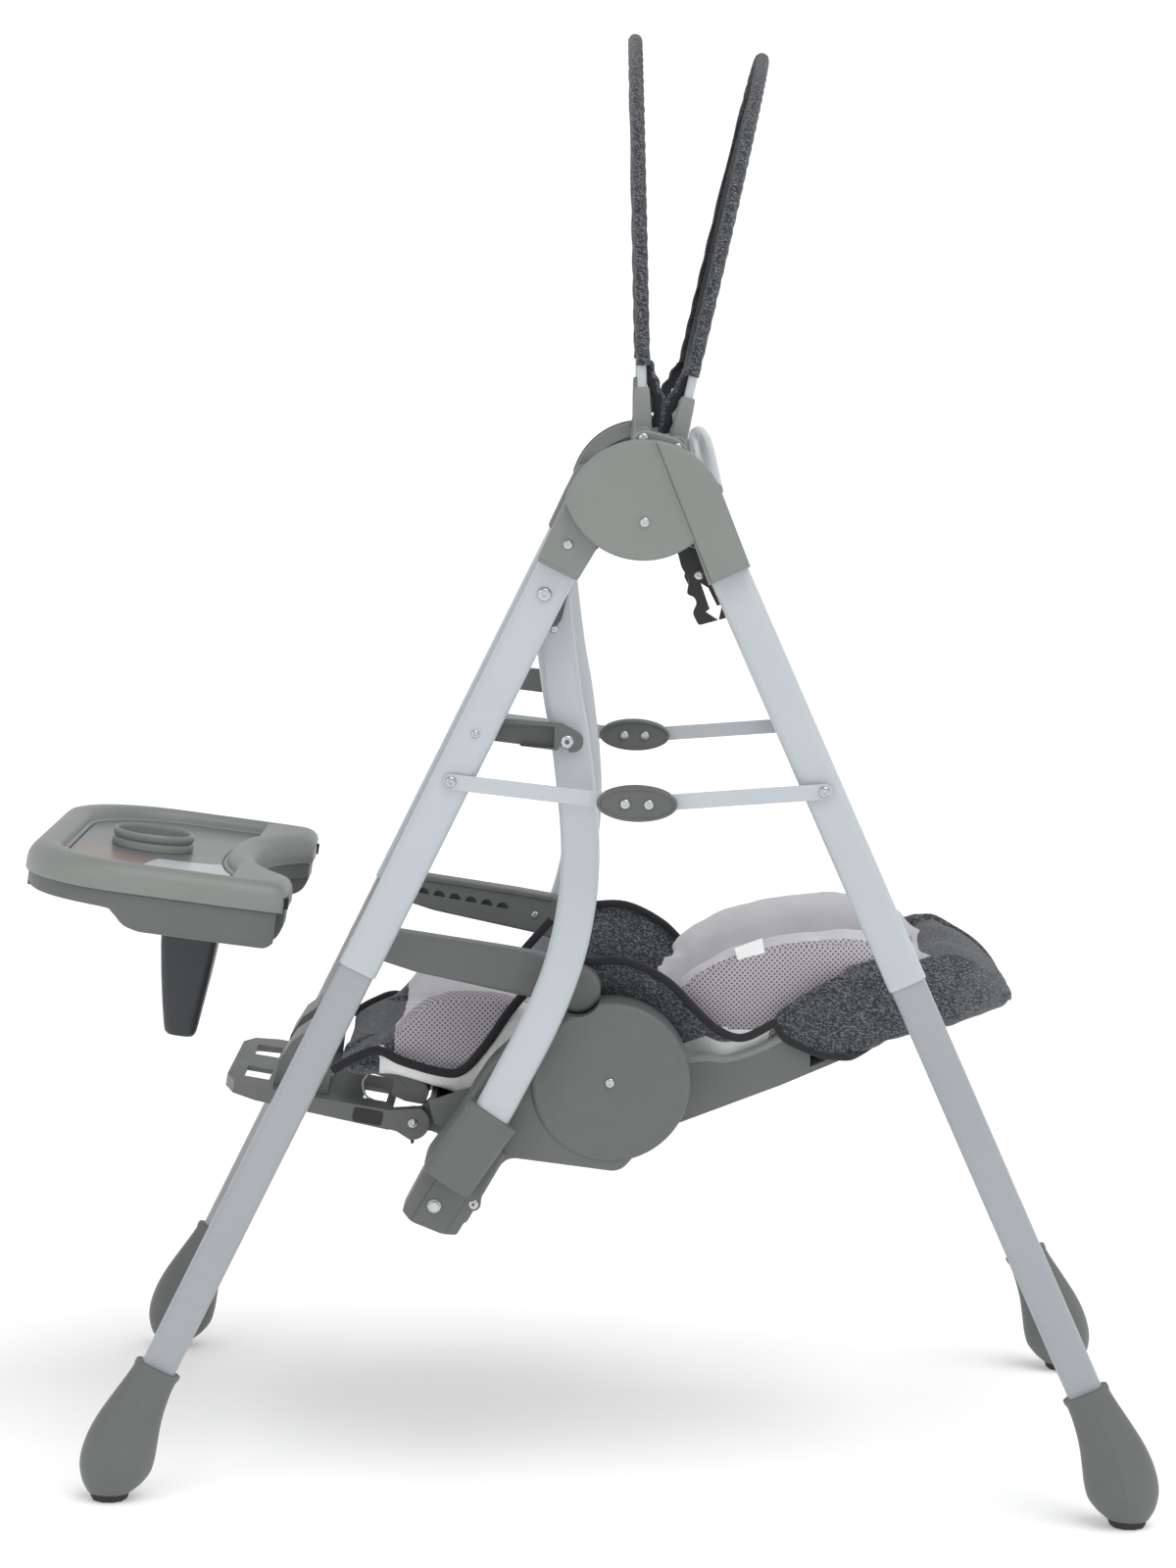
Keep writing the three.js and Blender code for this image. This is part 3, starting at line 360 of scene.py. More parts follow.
def inset(outline, distance):
    """The outline moved inwards by distance, corner by corner."""
    area = sum(a[0] * b[1] - b[0] * a[1] for a, b in zip(outline, outline[1:] + outline[:1]))
    way = 1 if area > 0 else -1
    out = []
    for i, p in enumerate(outline):
        a, b = Vector(outline[i - 1]), Vector(outline[(i + 1) % len(outline)])
        here = Vector(p)
        n1 = Vector((-(here - a).y, (here - a).x)).normalized()
        n2 = Vector((-(b - here).y, (b - here).x)).normalized()
        middle = (n1 + n2) / max(0.35, 1 + n1.dot(n2))
        out.append(tuple(here + middle * way * distance))
    return out


def loft(rings):
    """Skin over equal rings of 3-D points, capped at both ends."""
    count, last = len(rings[0]), len(rings) - 1
    points = [tuple(p) for ring in rings for p in ring]
    faces = [(a * count + i, a * count + (i + 1) % count,
              (a + 1) * count + (i + 1) % count, (a + 1) * count + i)
             for a in range(last) for i in range(count)]
    faces.append(tuple(range(count))[::-1])
    faces.append(tuple(last * count + i for i in range(count)))
    return points, faces


def grid(lines):
    """Open skin over equal lines of 3-D points."""
    step = len(lines[0])
    faces = [(i * step + k, i * step + k + 1, (i + 1) * step + k + 1, (i + 1) * step + k)
             for i in range(len(lines) - 1) for k in range(step - 1)]
    return [p for line in lines for p in line], faces


def along(table, x):
    """Value at x of a line through (x, value) pairs."""
    for (xa, a), (xb, b) in zip(table, table[1:]):
        if x <= xb:
            return a + (b - a) * max(0.0, (x - xa) / (xb - xa))
    return table[-1][1]


def merge(*shapes):
    points, faces = [], []
    for more_points, more_faces in shapes:
        base = len(points)
        points += list(more_points)
        faces += [tuple(base + i for i in face) for face in more_faces]
    return points, faces


SHARP = 0.01                         # rounding of a cutter's edges: as good as none
FLAT = 0.4                           # flat rim inside a rounded edge, so that the face shades evenly


def fillet(low, high, r_low, r_high, steps=4):
    """(inset, depth) of the rings of a block whose two end edges are rounded."""
    quarter = [k / steps * math.pi / 2 for k in range(steps + 1)]
    start = [(r_low * (1 - math.sin(a)), low + r_low * (1 - math.cos(a))) for a in quarter]
    stop = [(r_high * (1 - math.cos(a)), high - r_high * (1 - math.sin(a))) for a in quarter]
    if min(r_low, r_high) > 0.05:
        start, stop = [(r_low + FLAT, low)] + start, stop + [(r_high + FLAT, high)]
    return start + stop


def plate(outline, y_in, y_out, round_out=1.5, round_in=0.8):
    """Block with an X-Z outline; y_in and y_out are its inner and outer faces."""
    way = 1 if y_out > y_in else -1
    rings = fillet(0, abs(y_out - y_in), round_in, round_out)
    return loft([[(x, y_in + way * d, z) for x, z in inset(outline, r)] for r, d in rings])


def slab(outline, low, high, round_top=1.5, round_low=0.8):
    """Block with an X-Y outline between two heights."""
    rings = fillet(low, high, round_low, round_top)
    return loft([[(x, y, d) for x, y in inset(outline, r)] for r, d in rings])


def turn(shape, centre, degrees):
    """The shape turned about a line along Y; positive lifts its front."""
    c, s = math.cos(math.radians(degrees)), math.sin(math.radians(degrees))
    cx, cz = centre
    points = [(cx + (x - cx) * c + (z - cz) * s, y, cz - (x - cx) * s + (z - cz) * c)
              for x, y, z in shape[0]]
    return points, shape[1]


def lathe_y(profile, centre, steps=48):
    """Body turned about a line along Y; the profile lists (radius, y)."""
    rings = [[(x, y, z) for x, z in disc(centre, max(r, 0.01), steps)] for r, y in profile]
    return loft(rings)


def rounded_ring(width, thick, radius, steps=6):
    """Section of a flat-oval tube, in its own width and thickness."""
    u, v = width / 2 - radius, thick / 2 - radius
    corners = (((u, v), 0), ((-u, v), 90), ((-u, -v), 180), ((u, -v), 270))
    return [p for centre, start in corners for p in arc(centre, radius, start, start + 90, steps)]


def sweep(path, ring, normal):
    """Ring swept along a path in a plane; the ring's second direction is the plane's normal."""
    normal = Vector(normal)
    rings = []
    for i, p in enumerate(path):
        ahead = Vector(path[min(i + 1, len(path) - 1)]) - Vector(path[max(i - 1, 0)])
        side = normal.cross(ahead).normalized()
        rings.append([Vector(p) + side * a + normal * b for a, b in ring])
    return loft(rings)


def between(a, b, c, d, t):
    """Point at t of the Catmull-Rom curve from b to c."""
    return 0.5 * ((2 * b) + (c - a) * t + (2 * a - 5 * b + 4 * c - d) * t ** 2
                  + (3 * b - a - 3 * c + d) * t ** 3)


def smooth_path(points, steps=6):
    """Curve through points of any dimension."""
    out = []
    pts = [Vector(p) for p in points]
    pts = [pts[0] * 2 - pts[1]] + pts + [pts[-1] * 2 - pts[-2]]
    for a, b, c, d in zip(pts, pts[1:], pts[2:], pts[3:]):
        out += [between(a, b, c, d, k / steps) for k in range(steps)]
    out.append(pts[-2])
    return [tuple(p) for p in out]


# ---- pieces ----
def new_object(name, shape):
    data = bpy.data.meshes.new(name)
    data.from_pydata([row(p) for p in shape[0]], [], shape[1])
    made = bmesh.new()
    made.from_mesh(data)
    bmesh.ops.remove_doubles(made, verts=made.verts, dist=2e-6)
    bmesh.ops.recalc_face_normals(made, faces=made.faces)
    made.to_mesh(data)
    made.free()
    obj = bpy.data.objects.new(name, data)
    bpy.context.scene.collection.objects.link(obj)
    return obj


def baked(obj):
    """Applies every modifier of the object to its mesh."""
    bpy.context.view_layer.update()
    graph = bpy.context.evaluated_depsgraph_get()
    data = bpy.data.meshes.new_from_object(obj.evaluated_get(graph))
    obj.modifiers.clear()
    obj.data = data


def boolean(obj, shape, operation="DIFFERENCE"):
    cutter = shape if isinstance(shape, bpy.types.Object) else new_object("cutter", shape)
    tool = obj.modifiers.new("boolean", "BOOLEAN")
    tool.operation = operation
    tool.solver = "EXACT"
    tool.object = cutter
    baked(obj)
    bpy.data.objects.remove(cutter)


def dress(obj, look, smooth=35.0):
    obj.data.materials.clear()
    obj.data.materials.append(look)
    obj.data.polygons.foreach_set("use_smooth", [True] * len(obj.data.polygons))
    obj.data.set_sharp_from_angle(angle=math.radians(smooth))


def bevel(obj, width, segments=3, angle=32.0):
    tool = obj.modifiers.new("rounding", "BEVEL")
    tool.width = width * MM
    tool.segments = segments
    tool.limit_method = "ANGLE"
    tool.angle_limit = math.radians(angle)
    tool.harden_normals = True


def subdivide(obj, levels):
    fine = obj.modifiers.new("fine", "SUBSURF")
    fine.levels = fine.render_levels = levels
    baked(obj)


def thicken(obj, thickness):
    """Gives an open skin its thickness, half to each side."""
    tool = obj.modifiers.new("thickness", "SOLIDIFY")
    tool.thickness = thickness * MM
    tool.offset = 0
    baked(obj)


def piece(name, shape, look, body, replaces=(), round_off=0.0, smooth=35.0, cuts=()):
    """One finished piece of the object, riding on its body."""
    obj = new_object(name, shape)
    for cutter in cuts:
        boolean(obj, cutter)
    dress(obj, look, smooth)
    if round_off:
        bevel(obj, round_off)
    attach(obj, body)
    if replaces:
        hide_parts(*replaces)
    return obj


def from_cad(node, look, round_off=1.0):
    """The CAD solid of a node as a moulding with rounded edges."""
    obj = bpy.data.objects.new(node + "_moulding", bpy.data.meshes.new(node + "_moulding"))
    bpy.context.scene.collection.objects.link(obj)
    made = bmesh.new()
    made.from_mesh(frame["nodes"][node].data)
    bmesh.ops.remove_doubles(made, verts=made.verts, dist=1e-5)
    bmesh.ops.dissolve_limit(made, angle_limit=math.radians(1.0), verts=made.verts, edges=made.edges)
    bmesh.ops.recalc_face_normals(made, faces=made.faces)
    for layer in list(made.loops.layers.float_vector.values()):
        made.loops.layers.float_vector.remove(layer)
    made.to_mesh(obj.data)
    made.free()
    dress(obj, look)
    bevel(obj, round_off)
    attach(obj, frame["nodes"][node]["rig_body"])
    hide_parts(node)


def screw_head(x, y, z, way, radius=5.0, height=2.6):
    """Domed head with a driver recess, on a face that looks along way * Y."""
    steps = ((1.0, 0.0), (1.0, 0.25), (0.93, 0.6), (0.72, 0.88), (0.42, 1.0), (0.34, 0.97),
             (0.3, 0.5), (0.0, 0.45))
    profile = [(radius * r, y + way * height * h) for r, h in steps]
    return lathe_y(profile, (x, z), 20)


def screws(name, body, places):
    """One object of several screw heads on one body: places lists (x, y, z, way, radius)."""
    piece(name, merge(*(screw_head(x, y, z, way, r, r * 0.55) for x, y, z, way, r in places)),
          STEEL, body)


# ---- legs ----
def leg_point(way, station, across=0.0):
    out = LEG_OFFSET + across
    return (way * (math.cos(LEG_ANGLE) * out + math.sin(LEG_ANGLE) * station),
            HUB[1] + math.sin(LEG_ANGLE) * out - math.cos(LEG_ANGLE) * station)


UPPER_TUBE = (38, 20)
LOWER_TUBE = (34.4, 16.4)
TELESCOPE_END = 504
BOOT_START = 936
LEG_STARTS = {"upper": 42, "lower": 444}
FOOT_X = 491
PAD_TOP = 7.5


def tube_rings(way, y, size, stations):
    """Rings of a leg tube; stations lists (station, how much narrower each side)."""
    down = Vector((way * math.sin(LEG_ANGLE), 0, -math.cos(LEG_ANGLE)))
    side = Vector((0, 1, 0)).cross(down)
    rings = []
    for station, less in stations:
        x, z = leg_point(way, station)
        width, thick = size[0] - 2 * less, size[1] - 2 * less
        ring = rounded_ring(width, thick, thick * 0.42)
        rings.append([Vector((x, y, z)) + side * a + Vector((0, b, 0)) for a, b in ring])
    return rings


def leg(side, s, end, way):
    """Telescoping leg: upper tube with a turned-in end, lower tube, boot and foot pad."""
    y = s * LEG_Y
    upper = [(LEG_STARTS["upper"], 0), (TELESCOPE_END - 1.2, 0), (TELESCOPE_END - 0.3, 0.3),
             (TELESCOPE_END, 0.9), (TELESCOPE_END - 0.5, 1.4), (TELESCOPE_END - 14, 1.5)]
    body = f"{end}_frame"
    piece(f"{side}_{end}_upper_tube", loft(tube_rings(way, y, UPPER_TUBE, upper)), TUBE, body,
          [f"{side}_{end}_leg_upper"])
    lower = [(LEG_STARTS["lower"], 0), (BOOT_START + 36, 0)]
    piece(f"{side}_{end}_lower_tube", loft(tube_rings(way, y, LOWER_TUBE, lower)), LOW_TUBE, body,
          [f"{side}_{end}_leg_lower"])
    boot(side, s, end, way)


BOOT_ROWS = (      # along the boot 0..1, lean left, half width, half depth
    (0, 1, 21.5, 13.5), (0.14, 0.97, 23, 15.5), (0.32, 0.9, 27, 20), (0.5, 0.75, 32, 25),
    (0.66, 0.55, 35, 29), (0.8, 0.35, 34.5, 30), (0.91, 0.15, 29, 26), (0.97, 0.05, 23.5, 21.5),
    (1, 0, 20, 19))
BOOT_BOW = 7
LIP = 1.3


def boot(side, s, end, way):
    """Oval bulb on the leg's end with a rolled lip and a fine moulding seam down each face."""
    top, foot = leg_point(way, BOOT_START), (way * FOOT_X, PAD_TOP)
    turns = sorted([i / 40 * 2 * math.pi for i in range(40)]
                   + [math.pi / 2 + d for d in (-0.03, 0.03)] + [-math.pi / 2 + d for d in (-0.03, 0.03)],
                   key=lambda a: a % (2 * math.pi))
    rings = []
    for t, lean, a, b in smooth_path(BOOT_ROWS, 5):
        lip = LIP if t < 0.035 else 0.0
        bow = BOOT_BOW * math.sin(math.pi * t)
        angle = LEG_ANGLE * lean
        down = Vector((way * math.sin(angle), 0, -math.cos(angle)))
        across = Vector((0, 1, 0)).cross(down)
        centre = Vector((top[0] + (foot[0] - top[0]) * t + way * bow, s * LEG_Y,
                         top[1] + (foot[1] - top[1]) * t))
        ring = []
        for q in turns:
            seam = 0.5 if abs(math.cos(q)) < 0.01 and 0.12 < t < 0.95 else 0.0
            ring.append(centre + across * (a + lip) * math.cos(q)
                        + Vector((0, (b + lip + seam) * math.sin(q), 0)))
        rings.append(ring)
    narrow = [rings[0][i].lerp(sum(rings[0], Vector()) / len(turns), 0.12) for i in range(len(turns))]
    piece(f"{side}_{end}_boot_bulb", loft([narrow] + rings), SHADED_COVER_PLASTIC, f"{end}_frame",
          [f"{side}_{end}_boot"])
    profile = ((15.5, 0), (17.5, 1.2), (19.5, PAD_TOP - 0.5), (19.5, PAD_TOP + 2))
    rings = [[(way * FOOT_X + x, s * LEG_Y + y, z) for x, y in disc((0, 0), r, 10)] for r, z in profile]
    piece(f"{side}_{end}_rubber_foot", loft(rings), RUBBER, f"{end}_frame",
          [f"{side}_{end}_foot_pad"], 0.8)


# ---- hubs ----
HUB_IN, HUB_OUT, PLATE_IN = 281, 335, 323
COLLAR_END, COLLAR_HALF, COLLAR_OUT = 78, 21.3, 322.5
CREASE = ((5.5, 1034), (47.3, 936))  # where the plate starts to fall to the rear collar
CREASE_ROWS = ((-2, 0), (-1, -0.9), (0.2, -0.9), (1.2, 1.5), (2.4, 0.9), (5, 1), (10, 1.6), (16, 2.5),
               (22, 3.8), (28, 5.2), (34, 6.8), (41, 8.6))   # distance past the crease, depth below the plate


def collar_outline(way):
    points = [leg_point(way, COLLAR_END, COLLAR_HALF), leg_point(way, COLLAR_END, -COLLAR_HALF),
              leg_point(way, 40, -COLLAR_HALF - 3), leg_point(way, 5, -15), leg_point(way, -8, 8),
              leg_point(way, 6, 22), leg_point(way, 35, COLLAR_HALF + 1)]
    return round_corners(points, 4)


def casing_outline():
    """Hub plate and rear collar in one: arcs round the hub, and the collar down the rear leg."""
    belly = (-2, HUB[1] + 39)
    return (arc(HUB, 77, 24, 165.2, 60) + arc(belly, 75, 195, 310, 50)[1:]
            + [leg_point(1, COLLAR_END, -COLLAR_HALF), leg_point(1, COLLAR_END, COLLAR_HALF)])


def crease_plate(name, s):
    """Outer plate that falls in a soft curve to the rear collar, past a scored crease."""
    obj = new_object(name, plate(casing_outline(), s * PLATE_IN, s * HUB_OUT, 3.6, 0.5))
    (ax, az), (bx, bz) = CREASE
    way = Vector((bx - ax, bz - az)).normalized()
    out = Vector((-way.y, way.x))
    made = bmesh.new()
    made.from_mesh(obj.data)
    for distance, _ in CREASE_ROWS:
        at = Vector((ax, az)) + out * distance
        bmesh.ops.bisect_plane(made, geom=made.verts[:] + made.edges[:] + made.faces[:],
                               plane_co=row((at.x, 0, at.y)), plane_no=Vector((out.x, 0, out.y)), dist=1e-6)
    for v in made.verts:
        spot = hub_frame(v.co)
        beyond = (Vector((spot.x, spot.z)) - Vector((ax, az))).dot(out)
        if abs(spot.y) > PLATE_IN + 2:
            v.co.y -= s * along(CREASE_ROWS, beyond) * MM
    made.to_mesh(obj.data)
    made.free()
    dress(obj, PLASTIC, 16.0)
    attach(obj, "rear_frame")
    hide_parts(f"{name.split('_')[0]}_hub_shell")


def hub(side, s):
    """Hub shells with the rear collar, the front collar, the hoop ears and all their screws."""
    crease_plate(f"{side}_hub_plate", s)
    shoulder = (arc(HUB, 76.6, 24, 82, 24) + [(2, HUB[1] + 50), (46, HUB[1] - 18)]
                + [leg_point(1, COLLAR_END, -COLLAR_HALF), leg_point(1, COLLAR_END, COLLAR_HALF)])
    piece(f"{side}_rear_shoulder", merge(
        plate(shoulder, s * HUB_IN, s * (PLATE_IN - 0.2), 0.5, 3),
        plate(arc(HUB, 75, 100, 165, 20) + arc(HUB, 60, 165, 100, 20), s * 300, s * 322.8, 2, 1)),
        PLASTIC, "rear_frame")
    ears = []
    for x, z, _ in (FRONT_HOOP, REAR_HOOP):
        ears.append(plate([(x - 10, HUB[1] + 50), (x + 10, HUB[1] + 50)] + arc((x, z), 9, 0, 180, 12),
                          s * HUB_IN, s * (HUB_IN + 5), 1, 1))
    link = [(-12, 1012), (38, 1004), (38, 1026), (29, 1034), (-3, 1042), (-12, 1036)]
    ears.append(plate(round_corners(link, 5), s * (HUB_IN + 1), s * (HUB_IN + 34), 2, 1))
    piece(f"{side}_hoop_ears", merge(*ears), PLASTIC, "rear_frame")
    piece(f"{side}_front_collar_shell", merge(
        plate(collar_outline(-1), s * HUB_IN, s * COLLAR_OUT, 3.2, 2),
        plate(disc(HUB, 34), s * 305.5, s * COLLAR_OUT, 1, 1)), PLASTIC, "front_frame",
        [f"{side}_front_collar"])
    screws(f"{side}_hub_screws", "rear_frame", [
        (0, s * HUB_OUT, HUB[1], s, 4.8), (68, s * 326.5, 935, s, 4.8),
        (-3, s * (HUB_IN + 35), 1034, s, 4.5), (29, s * (HUB_IN + 35), 1026, s, 4)])
    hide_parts(f"{side}_hub_bolt")
    screws(f"{side}_front_leg_screws", "front_frame", [
        (-71, s * COLLAR_OUT, 933, s, 4.8), (-92, s * 310, 885, s, 7), (-154, s * 310, 751.5, s, 4)])


# ---- folding brace ----
LINK_FACE, LINK_THICK, LINK_STEP = 311, 3, 3.3


def capsule(a, b, radius, steps=12):
    angle = math.degrees(math.atan2(b[1] - a[1], b[0] - a[0]))
    return (arc(b, radius, angle - 90, angle + 90, steps)
            + arc(a, radius, angle + 90, angle + 270, steps))


def oval(a, b, y, z, steps=56):
    """Ellipse in the X-Z plane, centred on X = 0."""
    turns = (i / steps * 2 * math.pi for i in range(steps))
    return [(a * math.cos(q), y, z + b * math.sin(q)) for q in turns]


def brace(side, s):
    """Folding brace: a link bar to each leg, and a knuckle cover on both faces."""
    for i, (end, way) in enumerate(LEGS):
        y = LINK_FACE + i * LINK_STEP
        leg_end, middle = (way * LINK_RIVET[0], LINK_RIVET[1]), (way * KNUCKLE_RIVET[0], KNUCKLE_RIVET[1])
        piece(f"{side}_{end}_link_bar", plate(capsule(leg_end, middle, 7.5), s * y,
              s * (y + LINK_THICK), 0.9, 0.5), TUBE, f"{side}_{end}_link_body", [f"{side}_{end}_link"])
        screws(f"{side}_{end}_link_rivet", f"{side}_{end}_link_body",
               [(leg_end[0], s * (y + LINK_THICK), leg_end[1], s, 5.5)])
    face = LINK_FACE + 2 * LINK_STEP
    rows = ((37.2, 15.7, 0), (38, 16.5, 0.8), (38, 16.5, 7.6), (37.2, 15.7, 8.8), (36, 14.6, 9.2),
            (35.2, 13.8, 8.8), (34.6, 13.2, 7.4), (33.8, 12.4, 7.0))
    piece(f"{side}_knuckle_cover", loft([oval(a, b, s * (face + d), KNUCKLE_RIVET[1]) for a, b, d in rows]),
          DARK_PLASTIC, f"{side}_knuckle_body", [f"{side}_knuckle"])
    back = [oval(a, b, s * (LINK_FACE - 0.3 - d * 0.7), KNUCKLE_RIVET[1]) for a, b, d in rows]
    piece(f"{side}_knuckle_back", loft(back), DARK_PLASTIC, f"{side}_knuckle_body")
    screws(f"{side}_knuckle_rivets", f"{side}_knuckle_body",
           [(way * KNUCKLE_RIVET[0], s * y, KNUCKLE_RIVET[1], s * look, 5) for way in (-1, 1)
            for y, look in ((face + 7, 1), (LINK_FACE - 5.2, -1))])


# ---- latches and swing locks ----
def latch(side, s):
    """Black fold lever under the hub, with an arrow cut through it."""
    body = [(30, 934), (57, 928), (80, 894), (84, 866), (54, 857), (48, 868), (52, 878), (49, 884),
            (42, 886), (44, 900), (36, 912)]
    arrow = [(55, 897), (62, 893), (71, 876), (76, 878), (73, 862), (60, 870), (64, 873)]
    piece(f"{side}_latch_tongue", plate(round_corners(body, 3), s * 268, s * 279.5, 0.8, 0.8), BLACK,
          f"{side}_latch_body", [f"{side}_fold_latch"], cuts=[plate(arrow, s * 260, s * 290, SHARP, SHARP)])
    screws(f"{side}_latch_screw", f"{side}_latch_body", [(53, s * 279.5, 905, s, 5)])


def swing_lock(side, s):
    from_cad(f"{side}_swing_lock", DARK_PLASTIC, 0.9)
    low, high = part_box(f"{side}_swing_lock")
    face = max(abs(low.y), abs(high.y)) / MM
    screws(f"{side}_lock_screw", f"{side}_lock_body", [(-67.4, s * (face - 2.7), 744, s, 7)])


# ---- swing arms ----
ARM_LINE = ((-86, 880), (-83, 850), (-74, 790), (-64, 738), (-54, 660), (-53, 606), (-60, 552),
            (-72, 508), (-90, 463), (-112, 418), (-131, 380), (-150, 345))
ARM_Y, ARM_TUBE = 260, (37, 20)
SOCKET_AXIS = ((-130, 379.5), (-175, 310.5))


def socket_sleeve(s):
    """Barrel-fronted sleeve on the arm's lower end, with a rolled mouth."""
    (ax, az), (bx, bz) = SOCKET_AXIS
    down = Vector((bx - ax, 0, bz - az))
    u = Vector((0, 1, 0)).cross(down).normalized()
    rings = []
    for t, grow in ((0, -1.4), (0.01, 0.2), (0.03, 0.9), (0.08, 0.9), (0.1, 0), (0.9, -0.6), (0.985, -1.2),
                    (1, -2.6)):
        centre = Vector((ax, s * 260.5, az)) + down * t
        ring = rounded_ring(54 + 2 * grow, 27 + 2 * grow, 11 + grow, 8)
        rings.append([centre + u * a + Vector((0, b, 0)) for a, b in ring])
    return loft(rings)


def swing_arm(side, s):
    """Curved arm, its hanger at the hub and the socket at its lower end."""
    path = [(x, s * ARM_Y, z) for x, z in smooth_path(ARM_LINE, 6)]
    ring = rounded_ring(ARM_TUBE[0], ARM_TUBE[1], 8.4)
    piece(f"{side}_arm_tube", sweep(path, ring, (0, 1, 0)), TUBE, "swing_frame",
          [f"{side}_swing_arm"])
    from_cad(f"{side}_hanger", DARK_PLASTIC, 1.2)
    piece(f"{side}_socket_sleeve", socket_sleeve(s), SHADED_COVER_PLASTIC, "swing_frame", [f"{side}_arm_socket"])
    screws(f"{side}_arm_screw", "swing_frame", [(-83, s * 270, 850, s, 4.5), (-85, s * 278.5, 880, s, 5)])


# ---- camera, floor and light ----
CAMERA_PLACE = (0.011558, -4.217342, 1.158584)
PAN, TILT, ROLL = 0.264, -6.592, -1.453
LENS = 95.8
SUN_WAY = (-0.32, 0.35, -1.0)
LAMP_PLACE, LAMP_AIM = (-2.6, -3.0, 2.6), (0, 0, 0.7)
FLOOR_HALF = 40.0


def camera():
    data = bpy.data.cameras.new("camera")
    data.lens = LENS
    data.sensor_width = 36
    cam = bpy.data.objects.new("camera", data)
    bpy.context.scene.collection.objects.link(cam)
    turns = ((PAN, "Z"), (TILT, "X"), (ROLL, "Y"), (90, "X"))
    place = Matrix.Translation(CAMERA_PLACE)
    for degrees, axis in turns:
        place = place @ Matrix.Rotation(math.radians(degrees), 4, axis)
    cam.matrix_world = place
    bpy.context.scene.camera = cam


def studio():
    floor = bpy.data.objects.new("floor", bpy.data.meshes.new("floor"))
    half = FLOOR_HALF
    floor.data.from_pydata([(-half, -half, 0), (half, -half, 0), (half, half, 0), (-half, half, 0)],
                           [], [(0, 1, 2, 3)])
    bpy.context.scene.collection.objects.link(floor)
    made, tree, shader, place = material("studio_floor", 0.9)
    tone = noise(tree, place, 0.8)
    colour_by(tree, shader, tone, (0.92, 0.92, 0.92, 1), (0.95, 0.95, 0.95, 1))
    shader.inputs["Emission Color"].default_value = (1, 1, 1, 1)
    shader.inputs["Emission Strength"].default_value = 0.2
    floor.data.materials.append(made)
    world = bpy.data.worlds.new("studio")
    world.use_nodes = True
    tree = world.node_tree
    up = put(tree, "ShaderNodeSeparateXYZ", {0: put(tree, "ShaderNodeTexCoord").outputs["Generated"]})
    glow = put(tree, "ShaderNodeMapRange", {0: up.outputs[2], 1: 0.1, 2: 0.7, 3: 1.06, 4: 0.5})
    tree.nodes["Background"].inputs["Color"].default_value = (1, 1, 1, 1)
    tree.links.new(glow.outputs[0], tree.nodes["Background"].inputs["Strength"])
    bpy.context.scene.world = world
    bpy.context.scene.view_settings.view_transform = "Standard"
    sun = bpy.data.lights.new("sun", "SUN")
    sun.energy = 1.5
    sun.angle = math.radians(50)
    sky = bpy.data.objects.new("sun", sun)
    sky.rotation_euler = Vector(SUN_WAY).to_track_quat("-Z", "Y").to_euler()
    bpy.context.scene.collection.objects.link(sky)
    data = bpy.data.lights.new("key", "AREA")
    data.shape = "DISK"
    data.size = 1.6
    data.energy = 14
    lamp = bpy.data.objects.new("key", data)
    lamp.location = LAMP_PLACE
    lamp.rotation_euler = (Vector(LAMP_AIM) - Vector(LAMP_PLACE)).to_track_quat("-Z", "Y").to_euler()
    bpy.context.scene.collection.objects.link(lamp)


# ---- seat housings and shells ----
HOUSING_IN, HOUSING_OUT, HOUSING_R = 181, 238, 78
HEX_BOLT = (-185.7, 284)
LUG = (-147.8, 286)


ROLLED_RIM = ((0, -5), (0.5, -3), (1.7, -1.3), (3.5, -0.2), (5.5, 0), (8, -0.6), (10, -1.2),
              (12, -1.3))            # distance in from the cover's edge, and past its face


